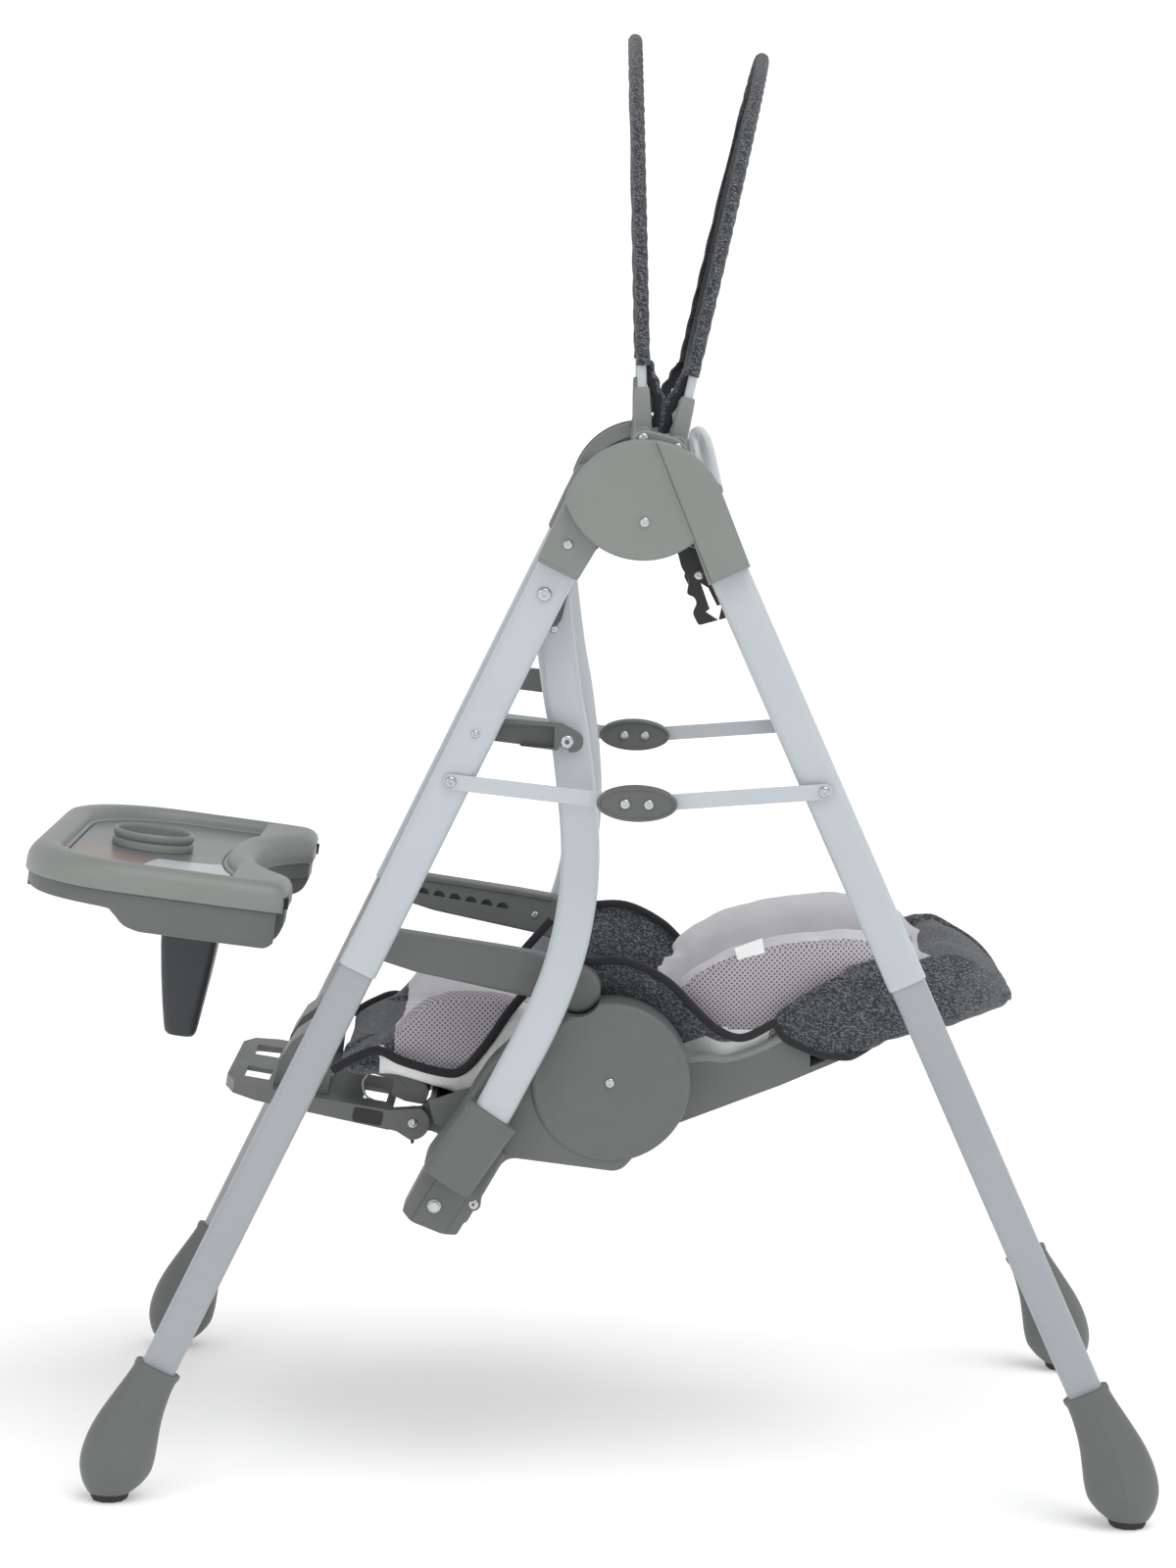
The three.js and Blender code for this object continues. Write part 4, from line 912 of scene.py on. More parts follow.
def side_housing(side, s):
    """Round cover with a rolled rim over a low skirt, notched for the armrest."""
    face = HOUSING_OUT
    profile = ([(HOUSING_R - 1, HOUSING_IN), (HOUSING_R, HOUSING_IN + 1)]
               + [(HOUSING_R - less, face + past) for less, past in ROLLED_RIM]
               + [(30, face - 1.0), (0, face - 0.8)])
    cover = lathe_y([(r, s * y) for r, y in profile], SEAT_PIVOT, 96)
    skirt = [(-200, 322), (-170, 268), (-156, 262), (-118, 331), (-6, 319), (9, 338), (40, 356), (20, 440),
             (-60, 466), (-98, 452), (-119, 438), (-135, 423), (-149, 401), (-159, 382)]
    foot = [(-163.5, 255), (-176, 255.5), (-209, 268), (-217, 278), (-200, 312), (-176, 350), (-140, 352),
            (-117.5, 336.5), (-148.5, 281.5)]
    block = [(-209, 268), (-176, 255.5), (-150, 300), (-180, 318)]
    lug = disc(LUG, 7.2, 24)
    notch = [plate(disc(ARMREST_PIVOT, 23.5, 40), s * 150, s * 300, SHARP, SHARP),
             plate([ARMREST_PIVOT, (-300, 486), (-300, 620), (-30, 540)], s * 150, s * 300, SHARP, SHARP)]
    piece(f"{side}_round_cover", cover, SHADED_COVER_PLASTIC, "swing_frame", [f"{side}_side_housing"], cuts=notch)
    piece(f"{side}_skirt", plate(round_corners(skirt, 12, 5), s * HOUSING_IN, s * (face - 2.4), 5, 1),
          SHADED_COVER_PLASTIC, "swing_frame", cuts=notch)
    piece(f"{side}_housing_foot", merge(
        plate(round_corners(foot, 3), s * 200, s * 244.5, 2, 1),
        plate(round_corners(block, 4), s * 230, s * 246.5, 2, 1),
        plate(lug, s * 205, s * 242.5, 1.5, 1)), SHADED_COVER_PLASTIC, "swing_frame")
    screws(f"{side}_housing_screws", "swing_frame", [
        (SEAT_PIVOT[0], s * (face - 0.9), SEAT_PIVOT[1], s, 5), (LUG[0], s * 242.5, LUG[1], s, 5.2)])
    hexagon = disc(HEX_BOLT, 5.6, 6)
    piece(f"{side}_hex_bolt", merge(plate(disc(HEX_BOLT, 6.6, 28), s * 246, s * 247.3, 0.4, 0.2),
          plate(hexagon, s * 247, s * 250.6, 0.8, 0.2)), STEEL, "swing_frame")


SHELL_RIM = ((50, 421), (75, 424), (98, 424), (129, 435), (151, 447), (176, 456), (196, 460))


def shells():
    from_cad("seat_shell", SHADED_SHELL_PLASTIC, 1.2)
    from_cad("back_shell", SHADED_SHELL_PLASTIC, 1.8)
    for side, s in SIDES:
        path = [(x, s * 175.5, z) for x, z in smooth_path(SHELL_RIM, 5)]
        piece(f"{side}_shell_rim", sweep(path, rounded_ring(8, 11, 3.9), (0, 1, 0)), PLASTIC, "backrest")


# ---- armrests ----
ARMREST_IN, ARMREST_OUT = 192, 222
NOTCHES, NOTCH_R, NOTCH_STEP = 6, 6.2, 17


def armrest(side, s):
    """Blade with half-round notches on its inner face, and a raised lip along its top."""
    top = [(-84, 527.5), (-120, 533.2), (-165, 539.2), (-205, 544.4), (-240, 549)]
    blade = round_corners([(-255, 550.8), (-263, 541), (-259, 521), (-250, 516.4)], 5)
    low = [(-210, 508.6), (-160, 498.8), (-100, 487), (-72, 477.5)]
    outline = blade + low + arc(ARMREST_PIVOT, 22.5, 250, 450, 24) + top
    cuts = []
    for i in range(NOTCHES):
        x = -222 + i * NOTCH_STEP
        z = 527 - (x + 222) * 0.16
        cuts.append(plate(arc((x, z), NOTCH_R, -8, 172, 12), s * (ARMREST_IN + 8), s * (ARMREST_IN - 5),
                          SHARP, SHARP))
    piece(f"{side}_armrest_blade", plate(outline, s * ARMREST_IN, s * ARMREST_OUT, 4.5, 2.5), SHADED_COVER_PLASTIC,
          f"{side}_armrest_body", [f"{side}_armrest"], cuts=cuts)
    lip = [(x, z) for x, z in top] + [(x, z - 6) for x, z in reversed(top)]
    piece(f"{side}_armrest_lip", plate(lip, s * (ARMREST_IN + 4), s * (ARMREST_IN - 2), 1.8, 1),
          SHADED_COVER_PLASTIC, f"{side}_armrest_body")
    screws(f"{side}_armrest_screw", f"{side}_armrest_body", [(-102, s * (ARMREST_IN + 0.4), 507, -s, 4)])


# ---- leg rest ----
def leg_rest():
    """Leg rest and foot plate with their fittings, and the seat's lip above their hinge."""
    from_cad("leg_rest", SHADED_SHELL_PLASTIC, 1.6)
    from_cad("foot_plate", SHADED_SHELL_PLASTIC, 1.6)
    fx, fz = FOOT_PIVOT
    lip = [(-234, 389), (-236, 367), (-222, 361), (-202, 358), (-198, 372), (-202, 379), (-215, 385)]
    piece("seat_lip", plate(round_corners(lip, 1.5), -116, 116, 1, 1), SHADED_SHELL_PLASTIC, "swing_frame")
    patch = [(-265, 410), (-243, 402), (-244, 397), (-269, 402)]
    piece("brown_patch", plate(patch, -61, -60, 0.2, 0.2), PATCH, "swing_frame")
    for name, y, line in (("near", -90, [(-253, 394), (-259, 385), (-266, 375), (-263, 361), (-255, 356)]),
                          ("far", -60, [(-276, 396), (-279, 386), (-293, 380), (-305, 371)])):
        loop = [(x, y, z) for x, z in smooth_path(line, 5)]
        piece(f"{name}_elastic_loop", sweep(loop, rounded_ring(1.4, 7, 0.6, 2), (0, 1, 0)), ELASTIC,
              "swing_frame")
    slot = [(fx - 60, fz - 8), (fx - 30, fz - 8.5), (fx - 30, fz + 6.5), (fx - 60, fz + 6.5)]
    pin = [(fx - 1.5, fz - 22), (fx + 1.5, fz - 22), (fx + 2, fz - 15), (fx - 2, fz - 15)]
    for side, s in SIDES:
        piece(f"{side}_rail_slot", turn(plate(round_corners(slot, 4), s * 134, s * 136.5, 0.6, 0.3),
                                        FOOT_PIVOT, FOOT_TILT), BLACK, "leg_rest_body")
        screws(f"{side}_leg_rest_screw", "leg_rest_body", [(fx, s * 136, fz, s, 5)])
        piece(f"{side}_stop_pin", plate(pin, s * 126, s * 129, 0.5, 0.5), BLACK, "leg_rest_body")


# ---- tray ----
TRAY_LENGTH, TRAY_HALF, TRAY_CORNER = 265, 232, 100
BELLY_DEPTH, BELLY_HALF = 46, 142
TX, TZ = TRAY_HORN
RIM_TOP, RECESS = 28, 14
RECESS_END = 62
POD_IN, SHALLOW = 150, 16


def tray_plan(less, behind=0.0):
    """Plan of the tray, moved in by less all round; behind cuts it off that far before the horns."""
    half, front = TRAY_HALF - less, TX - TRAY_LENGTH + less
    horn = TX - less * 0.8
    bow = []
    for i in range(33):
        t = 1 - i / 16
        bow.append((TX - less - BELLY_DEPTH * (1 - abs(t) ** 2.6), (BELLY_HALF + less * 0.9) * t))
    points = ([(horn, -half + 14), (horn - 3, -half + 6), (horn - 10, -half + 2), (TX - 60, -half)]
              + arc((front + TRAY_CORNER, TRAY_CORNER - half), TRAY_CORNER, 270, 180, 18)
              + arc((front + TRAY_CORNER, half - TRAY_CORNER), TRAY_CORNER, 180, 90, 18)
              + [(TX - 60, half), (horn - 10, half - 2), (horn - 3, half - 6), (horn, half - 14)] + bow)
    return [(min(x, TX - behind), y) for x, y in points] if behind else points


def tray_frame(shape):
    return turn(shape, TRAY_HORN, TRAY_TILT)


def rectangle(xa, xb, ya, yb):
    return [(xa, ya), (xb, ya), (xb, yb), (xa, yb)]


def tunnels(length):
    """The two hollows that the armrests run in, this far in from the horns."""
    return [slab(rectangle(TX - length, TX + 20, s * (ARMREST_IN - 2.5), s * (ARMREST_OUT + 2.5)),
                 TZ - 33, TZ + 15, SHARP, SHARP) for _, s in SIDES]


def tray():
    """Rim shell, lower shell with its two pods, insert sheet, cup ring, crotch post and buttons."""
    rows = ((2.5, 0.4, 0), (0.3, 0.4, 0), (0, 1.2, 0), (0.2, 10, 0), (1.4, 17, 0), (4, 22, 0),
            (8, 25.5, 0), (13, 27.6, 0), (18, 28.2, 0), (23, 27.6, 54), (27, 25.4, 57), (29.6, 21.5, 59),
            (31, 17.4, 60.5), (33.2, 16.8, 61), (34, 16, 61.5), (34.4, RIM_TOP - RECESS - 0.4, RECESS_END))
    rings = [[(x, y, TZ + z) for x, y in tray_plan(less, behind)] for less, z, behind in rows]
    piece("tray_rim_shell", tray_frame(loft(rings)), PLASTIC, "tray_body", ["tray_rim"],
          cuts=[tray_frame(hollow) for hollow in tunnels(58)])
    deep = slab(tray_plan(3), TZ - 37, TZ - 0.3, 0.5, 7)
    profile = ([(TX - 300, TZ + 5), (TX - 300, TZ - SHALLOW + 4)]
               + smooth_path([(TX - 258, TZ - 11), (TX - 245, TZ - SHALLOW + 1), (TX - 178, TZ - SHALLOW),
                              (TX - 166, TZ - 20), (TX - 154, TZ - 31), (TX - 138, TZ - 36.5)], 4)
               + [(TX - 30, TZ - 37.5)] + arc((TX - 24, TZ - 17), 20.5, 275, 350, 8) + [(TX + 5, TZ + 5)])
    middle = slab(rectangle(TX - 290, TX + 10, -152, 152), TZ - SHALLOW, TZ + 5, SHARP, SHARP)
    keep = new_object("keep", tray_frame(middle))
    for _, s in SIDES:
        boolean(keep, tray_frame(plate(profile, s * POD_IN, s * 240, SHARP, SHARP)), "UNION")
    obj = new_object("tray_base_shell", tray_frame(deep))
    boolean(obj, keep, "INTERSECT")
    for hollow in tunnels(108):
        boolean(obj, tray_frame(hollow))
    dress(obj, SHADED_COVER_PLASTIC)
    bevel(obj, 1.2, 3, 38)
    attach(obj, "tray_body")
    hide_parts("tray_base")
    floor = TZ + RIM_TOP - RECESS
    card = slab(tray_plan(35.5, RECESS_END + 2), floor - 0.2, floor + 1.4, 0.4, 0.1)
    piece("tray_card", tray_frame(card), CARD, "tray_body", ["tray_insert"])
    cup(floor + 1.2)
    post()
    for side, s in SIDES:
        notch = slab(rectangle(TX - 3, TX + 1.2, s * 203, s * 209), TZ + 2, TZ + 13, 0.5, 0.5)
        piece(f"{side}_tray_release", tray_frame(notch), BLACK, "tray_body")


def cup(base):
    """Two-tier ring that holds a cup."""
    rows = ((40, 0), (41.3, 0.6), (41.3, 6.5), (40.6, 7.6), (39.4, 8.4), (39.4, 9.4), (40.6, 10.2),
            (41, 11.5), (40.9, 15), (40.2, 17), (38.9, 18), (37.6, 17.6), (36.9, 16.2), (36.6, 14), (36.3, 4),
            (35.4, 3.2), (20, 3))
    rings = [[(x, y, base + z) for x, y in disc((TX - 156, 0), r, 56)] for r, z in rows]
    piece("cup_holder", tray_frame(loft(rings)), PLASTIC, "tray_body", ["cup_ring"])


def post():
    """Tapering crotch post under the tray."""
    rows = ((-17, 0, 31, 28), (-50, 0, 30, 27.2), (-80, 0.1, 28, 25.6), (-110, 0.4, 24.6, 23.4),
            (-140, 0.8, 20.4, 21), (-162, 1.4, 17, 19.2), (-169, 1.8, 15.6, 18), (-172, 2, 13, 15.6))
    rings = []
    for z, shift, a, b in rows:
        rings.append([(TX - 106 + shift + u, v, TZ + z) for u, v in rounded_ring(2 * a, 2 * b, 9)])
    piece("tray_post", tray_frame(loft(rings)), POST_PLASTIC, "tray_body", ["crotch_post"])


# ---- cushions ----
def smooth_ring(half, steps=3):
    """Closed, mirrored section through half a section's (y, z) points, bottom centre first."""
    other = [(-y, z) for y, z in reversed(half[1:-1])]
    points = [Vector(p) for p in half + other]
    out = []
    n = len(points)
    for i in range(n):
        a, b, c, d = points[i - 1], points[i], points[(i + 1) % n], points[(i + 2) % n]
        out += [between(a, b, c, d, k / steps) for k in range(steps)]
    return out


VOXEL = 0.0055                       # metres
PRESSURE = 4.0
LAST_FRAME = 20


def puff(obj, cap):
    """Blows the closed form up like a stuffed cushion; no point moves further than cap, in mm."""
    shell = obj.modifiers.new("remesh", "REMESH")
    shell.mode = "VOXEL"
    shell.voxel_size = VOXEL
    baked(obj)
    rest = [v.co.copy() for v in obj.data.vertices]
    cloth = obj.modifiers.new("puff", "CLOTH")
    cloth.settings.use_pressure = True
    cloth.settings.uniform_pressure_force = PRESSURE
    cloth.settings.effector_weights.gravity = 0
    cloth.settings.quality = 4
    cloth.collision_settings.use_collision = False
    for number in range(1, LAST_FRAME + 1):
        bpy.context.scene.frame_set(number)
    baked(obj)
    bpy.context.scene.frame_set(1)
    for v, start in zip(obj.data.vertices, rest):
        move = v.co - start
        if move.length > cap * MM:
            v.co = start + move.normalized() * cap * MM
    soften = obj.modifiers.new("soften", "SMOOTH")
    soften.iterations = 4
    soften.factor = 0.5
    subdivide(obj, 1)
    return obj


def press(obj, depth_at):
    """Moves each point along its normal by minus depth_at(point), in mm: seams and channels."""
    normals = [v.normal.copy() for v in obj.data.vertices]
    for v, normal in zip(obj.data.vertices, normals):
        v.co -= normal * depth_at(hub_frame(v.co)) * MM


def paint(obj, looks, choose):
    """Gives the object several materials; choose(centre, normal) returns an index."""
    dress(obj, looks[0], 70)
    for look in looks[1:]:
        obj.data.materials.append(look)
    for face in obj.data.polygons:
        face.material_index = choose(hub_frame(face.center), face.normal)


def gauss(distance, width):
    """1 at no distance, falling away over the width."""
    return math.exp(-(distance / width) ** 2)


SEAT_TOP = ((-292, 408), (-272, 418), (-250, 429), (-228, 452), (-206, 472), (-180, 480), (-158, 482),
            (-130, 481), (-105, 476), (-80, 470), (-36, 463), (0, 458), (24, 450))
SEAT_LOW = ((-292, 392), (-236, 394), (-178, 378), (-100, 350), (-4, 349), (24, 374))
SEAT_DISH = ((-292, 412), (-262, 420), (-225, 418), (-160, 408), (-60, 391), (24, 394))
SEAT_BIND = ((-292, 402), (-247, 424), (-223, 413), (-184, 402), (-160, 405), (-138, 433), (-118, 464),
             (-81, 509))
SEAM_SEAT, SEAM_BACK, MIDDLE_BACK = 93.0, 98.0, 49.0
PAD_HALF = 162
SEAT_LINES, BACK_LINES = (-210, -160, -110, -60, -10), (80, 130, 180, 230)   # sewn channels


def seat_section(x, less):
    top, low, dish = along(SEAT_TOP, x), along(SEAT_LOW, x), along(SEAT_DISH, x)
    half = PAD_HALF - less - 10 * max(0.0, (-262 - x) / 30) ** 2
    rise = max(2.0, top - dish)
    return smooth_ring([(0, low + less), (60, low + less), (half - 16, low + less + 1),
                        (half - 3, low + less + 9), (half, (low + top) / 2), (half - 3, top - 12),
                        (half - 14, top - 3), (half - 27, top - less), (half - 39, top - 4 - 0.15 * rise),
                        (half - 50, dish + 0.35 * rise), (half - 62, dish + 2), (48, dish - less),
                        (0, dish - 1 - less)])


def seat_reach(z):
    """How far back the seat cushion goes at a height: it stops short of the turning backrest."""
    up = z - SEAT_PIVOT[1]
    if up < 22:
        return 28.0
    limit = SEAT_PIVOT[0] + math.sqrt(max(0.0, SEAM_SEAT ** 2 - up ** 2))
    return min(limit, 28 + (up - 22) * 1.1)


def seat_cushion():
    stations = [-291, -286, -276] + list(range(-264, 24, 12)) + [16, 22]
    rings = []
    last = len(stations) - 1
    for i, x in enumerate(stations):
        less = {0: 9, 1: 4, last - 1: 4, last: 9}.get(i, 1)
        ring = []
        for y, z in seat_section(x, less):
            share = max(0.0, (x + 80) / 104)
            ring.append((x + share * (seat_reach(z) - 24), y, z))
        rings.append(ring)
    obj = puff(new_object("seat_cushion", loft(rings)), 5)
    press(obj, seat_channels)
    paint(obj, [LINER, FELT, MELANGE, WING], seat_look)
    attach(obj, "swing_frame")
    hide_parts("seat_pad")


def seat_channels(p):
    """Depth of the seat's sewn lines and side seams at a point."""
    dish = gauss(max(0.0, abs(p.y) - 96), 10) if p.z < along(SEAT_DISH, p.x) + 16 else 0.0
    lines = sum(gauss(p.x - x, 3.5) for x in SEAT_LINES)
    side = gauss(abs(p.y) - 104, 4.0) * (1 if p.z > along(SEAT_DISH, p.x) - 6 else 0)
    return 2.6 * dish * lines * (1 if p.z > along(SEAT_LOW, p.x) + 12 else 0) + 3.0 * side


def seat_look(centre, normal):
    """Which of the seat's fabrics a face has."""
    outside = abs(centre.y) > PAD_HALF - 22 and abs(normal.y) > 0.35
    if centre.z < along(SEAT_BIND, centre.x) and (outside or normal.z < 0) and centre.x > -246:
        return 1
    if centre.x < -232:
        return 2
    return 3 if abs(centre.y) < PAD_HALF - 18 else 0


BACK_TOP = ((30, 484), (57, 504), (92, 522), (143, 536), (205, 544), (245, 541), (282, 531), (305, 514),
            (330, 504), (352, 494), (366, 486))
BACK_LOW = ((30, 366), (47, 370), (209, 436), (300, 473), (343, 484), (366, 492))
BACK_DISH = ((30, 411), (60, 413), (210, 463), (268, 489), (300, 508), (330, 500), (366, 484))
BACK_HALF = ((30, 162), (200, 162), (290, 147), (330, 116), (352, 88), (366, 58))
POCKET_CREST = ((285, 540), (305, 531), (330, 523), (352, 512), (366, 502), (386, 482))
POCKET_TOP = ((139, 466), (150, 477), (178, 496), (206, 512), (240, 519), (273, 521), (310, 517),
              (345, 502), (386, 477))
POCKET_LOW = ((139, 459), (156, 444), (185, 432), (213, 428), (271, 448), (343, 461), (388, 470))
POCKET_HALF = ((139, 183), (200, 181), (240, 170), (290, 158), (330, 134), (352, 110), (386, 66))


def back_section(x, less):
    top, low, dish = along(BACK_TOP, x), along(BACK_LOW, x), along(BACK_DISH, x)
    half = along(BACK_HALF, x) - less
    rise = max(1.0, top - dish)
    crown = min(8.0, rise * 0.2)
    return smooth_ring([(0, low + less), (half * 0.5, low + less), (half - 16, low + less + 1),
                        (half - 3, low + less + 9), (half, (low + top) / 2), (half - 2, top - 15),
                        (half - 10, top - 5), (half - 22, top + crown * 0.6 - less),
                        (half - 34, top + crown - less), (half - 47, top + crown * 0.3 - 0.1 * rise),
                        (half - 57, dish + 0.45 * rise), (half - 66, dish + 3), (half * 0.25, dish - less),
                        (0, dish - 1 - less)])


def back_start(y, z):
    """Front edge of the back cushion: an arc about the recline axis, closer in between the sides."""
    share = min(1.0, max(0.0, (abs(y) - 98) / 14))
    radius = MIDDLE_BACK + (SEAM_BACK - MIDDLE_BACK) * share
    up = min(z - SEAT_PIVOT[1], 0.83 * radius)
    return SEAT_PIVOT[0] + math.sqrt(radius ** 2 - up ** 2)


def back_cushion():
    stations = [31, 34, 42] + list(range(54, 342, 12)) + [350, 358, 364]
    rings = []
    last = len(stations) - 1
    for i, x in enumerate(stations):
        less = {0: 9, 1: 4, last - 1: 4, last: 8}.get(i, 1)
        ring = []
        for y, z in back_section(x, less):
            share = max(0.0, (170 - x) / 140)
            ring.append((x + share * (back_start(y, z) - 30), y, z))
        rings.append(ring)
    obj = puff(new_object("back_cushion", loft(rings)), 5)
    press(obj, back_channels)
    paint(obj, [LINER, FELT, WING], back_look)
    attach(obj, "backrest")
    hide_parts("back_pad")


def back_channels(p):
    """Depth of the back's sewn lines and side seams at a point."""
    above = p.z > along(BACK_DISH, p.x) - 8
    lines = sum(gauss(p.x - x, 3.5) for x in BACK_LINES)
    dish = 1.0 if above and abs(p.y) < 92 else 0.0
    side = gauss(abs(p.y) - (along(BACK_HALF, p.x) - 66), 4.0) * (1 if above and p.x < 280 else 0)
    return 2.6 * dish * lines + 3.0 * side


def back_look(centre, normal):
    """Which of the back's fabrics a face has."""
    half = along(BACK_HALF, centre.x)
    if centre.z < along(BACK_LOW, centre.x) + 16 + max(0.0, 140 - centre.x) * 0.12:
        return 1
    if abs(centre.y) > half - 40 and centre.x < 136 and centre.z < 452:
        return 1
    inner = abs(centre.y) < half - 13
    wing = inner and abs(centre.y) > half - 66
    return 2 if wing or centre.x > 292 else 0


def pocket_section(x, less):
    seam, low = along(POCKET_TOP, x), along(POCKET_LOW, x)
    half = along(POCKET_HALF, x) - less
    cover = min(1.0, max(0.0, (x - 288) / 22))
    under = min(along(BACK_DISH, x) - 8, seam - 16)
    inside = under + cover * (along(POCKET_CREST, x) - 2 - under)
    crest = seam + cover * (along(POCKET_CREST, x) - seam)
    return smooth_ring([(0, low - 3 + less), (half * 0.6, low - 3 + less), (half - 14, low - 2 + less),
                        (half - 2, low + 8), (half + 1, (low + seam) / 2), (half - 1, seam - 8),
                        (half - 7, crest - less), (half - 17, crest - 5 * cover - less),
                        (half - 30, inside - less), (half * 0.4, inside + 2 * cover - less),
                        (0, inside - 4 * cover - less)], 4)


def wrinkle(p):
    """Soft, shallow folds of the loose cover, in mm."""
    return (0.9 * math.sin(p.x * 0.11 + p.z * 0.07 + 1.3 * math.sin(p.y * 0.05))
            + 0.6 * math.sin(p.x * 0.23 - p.y * 0.09 + p.z * 0.31))


def back_pocket():
    """Cover that slips over the head end, with its loose side wings."""
    stations = [206, 209, 215] + list(range(225, 355, 10)) + [361, 369, 376, 382, 386]
    rings = []
    last = len(stations) - 1
    for i, x in enumerate(stations):
        less = {0: 6, 1: 2.5, last - 1: 4, last: 9}.get(i, 0)
        rings.append([(x, y, z) for y, z in pocket_section(x, less)])
    obj = new_object("head_pocket", loft(rings))
    subdivide(obj, 2)
    press(obj, wrinkle)
    dress(obj, MELANGE, 60)
    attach(obj, "backrest")
    for side, s in SIDES:
        stations = [140, 148, 158, 168, 178, 188, 198, 208, 216]
        rings = []
        for x in stations:
            half = along(POCKET_HALF, x) + 0.4
            low, high = along(POCKET_LOW, x), along(POCKET_TOP, x)
            rings.append([(x, s * (half - 1.6), high), (x, s * half, high + 0.8), (x, s * (half + 1.4), high),
                          (x, s * (half + 2.4), (low + high) / 2), (x, s * (half + 1.2), low),
                          (x, s * half, low - 0.8), (x, s * (half - 1.6), low)])
        cheek = new_object(f"{side}_pocket_cheek", loft(rings))
        subdivide(cheek, 2)
        dress(cheek, MELANGE, 60)
        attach(cheek, "backrest")
        edge = [(x, s * (along(POCKET_HALF, x) + 2 - max(0.0, x - 216) * 0.9), z) for x, z in
                smooth_path([(141, 462), (148, 451), (156, 444), (185, 432), (213, 428.5), (226, 431),
                             (242, 438)], 5)]
        binding(f"{side}_pocket_binding", edge, "backrest", 3.4, 3.0)


# ---- bindings, flaps and trims ----
def binding(name, path, body, width, thick):
    """Folded tape along an edge, as a flat oval that hugs the path."""
    ring = rounded_ring(2 * width, 2 * thick, thick * 0.9, 4)
    piece(name, sweep(path, ring, (0, 1, 0)), BINDING, body, smooth=50)


FLAP_TOP = ((-84, 512), (-66, 517), (-43, 519), (-5, 520), (34, 502), (63, 474), (88, 453), (112, 447),
            (143, 463))
FLAP_ROWS, FLAP_IN, FLAP_Y, FLAP_BULGE = 8, 44.0, 176, 21


def side_flap(side, s):
    """Cover that bridges seat and back beside the recline hinge, edged with black tape."""
    top = smooth_path(FLAP_TOP, 6)
    outer = []
    for i, (x, z) in enumerate(top):
        t = i / (len(top) - 1)
        angle = math.atan2(z - SEAT_PIVOT[1], x - SEAT_PIVOT[0])
        reach = math.hypot(x - SEAT_PIVOT[0], z - SEAT_PIVOT[1])
        base = min(FLAP_IN, reach - 4) if x < 88 else reach - 14
        line = []
        for k in range(FLAP_ROWS + 1):
            f = k / FLAP_ROWS
            r = base + (reach - base) * f
            out = max(0.0, (r - 72) / (reach - 72)) if x < 88 else 0.4 + 0.6 * f
            bulge = FLAP_BULGE * math.sin(math.pi * 0.55 * out) * (1 - 0.55 * t)
            y = FLAP_Y + bulge + 0.8 * math.sin(5 * t * math.pi + 2 * f)
            line.append((SEAT_PIVOT[0] + r * math.cos(angle), s * y, SEAT_PIVOT[1] + r * math.sin(angle)))
        outer.append(line)
    obj = new_object(f"{side}_side_flap", grid(outer))
    thicken(obj, 2.0)
    dress(obj, MELANGE, 60)
    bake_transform(obj)
    edge = [line[-1] for line in outer]
    tape = new_object(f"{side}_flap_binding", sweep(edge, rounded_ring(8.4, 6.4, 3, 4), (0, 1, 0)))
    dress(tape, BINDING, 50)
    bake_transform(tape)


def seat_bindings(side, s):
    line = smooth_path([(-292, 400), (-270, 413), (-247, 421), (-223, 411), (-184, 401), (-163, 404),
                        (-140, 431), (-120, 462), (-100, 487), (-84, 506)], 6)
    binding(f"{side}_seat_binding", [(x, s * (PAD_HALF + 5), z) for x, z in line], "swing_frame", 4.6, 4)
    if side == "left":
        tag = [(101, 530), (128, 541), (131, 526), (105, 516)]
        piece("side_tag", plate(tag, s * 153, s * 154, 0.2, 0.2), FELT, "backrest")


# ---- canopy ----
HOOP_Y, HOOP_HEIGHT, SOCKET_TOP, HOOP_POWER = 268, 383, 46, 2.3
SLEEVE_START = 66


def hoop_path(steps, from_height=0.0, less=0.0):
    """Arch of a hoop above its hinge, as (y, height), from a height on; less draws it in."""
    out = []
    for i in range(steps + 1):
        q = math.pi * (1 - i / steps)
        y = (HOOP_Y - less) * math.copysign(abs(math.cos(q)) ** (2 / HOOP_POWER), math.cos(q))
        h = SOCKET_TOP + (HOOP_HEIGHT - SOCKET_TOP - less) * abs(math.sin(q)) ** (2 / HOOP_POWER)
        if h >= from_height:
            out.append((y, h))
    return out


def lean(shape, hoop):
    """The shape, made upright at the origin, tipped and moved to a hoop's hinge."""
    x, z, degrees = hoop
    tipped = turn(shape, (0, 0), degrees)
    return [(px + x, py, pz + z) for px, py, pz in tipped[0]], tipped[1]


def circle(radius, steps=14):
    return disc((0, 0), radius, steps)


def hoop(end, spot):
    """Wire arch with a plastic socket at each hinge, and the fabric in it."""
    path = [(0, y, h) for y, h in [(-HOOP_Y, 2)] + hoop_path(160) + [(HOOP_Y, 2)]]
    body = f"{end}_hoop_body"
    piece(f"{end}_hoop_wire", lean(sweep(path, circle(4.5), (1, 0, 0)), spot), TUBE, body,
          [f"{end}_hoop"])
    sockets = []
    for _, s in SIDES:
        rows = ((0, 8, 7.4), (3, 8.6, 8), (24, 8, 7.4), (SOCKET_TOP - 2, 7, 6.6), (SOCKET_TOP, 6.2, 5.8))
        sockets.append(loft([[(a, s * HOOP_Y + b, z) for a, b in rounded_ring(2 * u, 2 * v, 3, 4)]
                             for z, u, v in rows]))
        sockets.append(plate(disc((0, 0), 9.4, 28), s * (HOOP_Y - 8), s * 280, 1.2, 1))
    piece(f"{end}_hoop_sockets", lean(merge(*sockets), spot), PLASTIC, body)
    canopy(end, spot, body, 1 if end == "front" else -1)


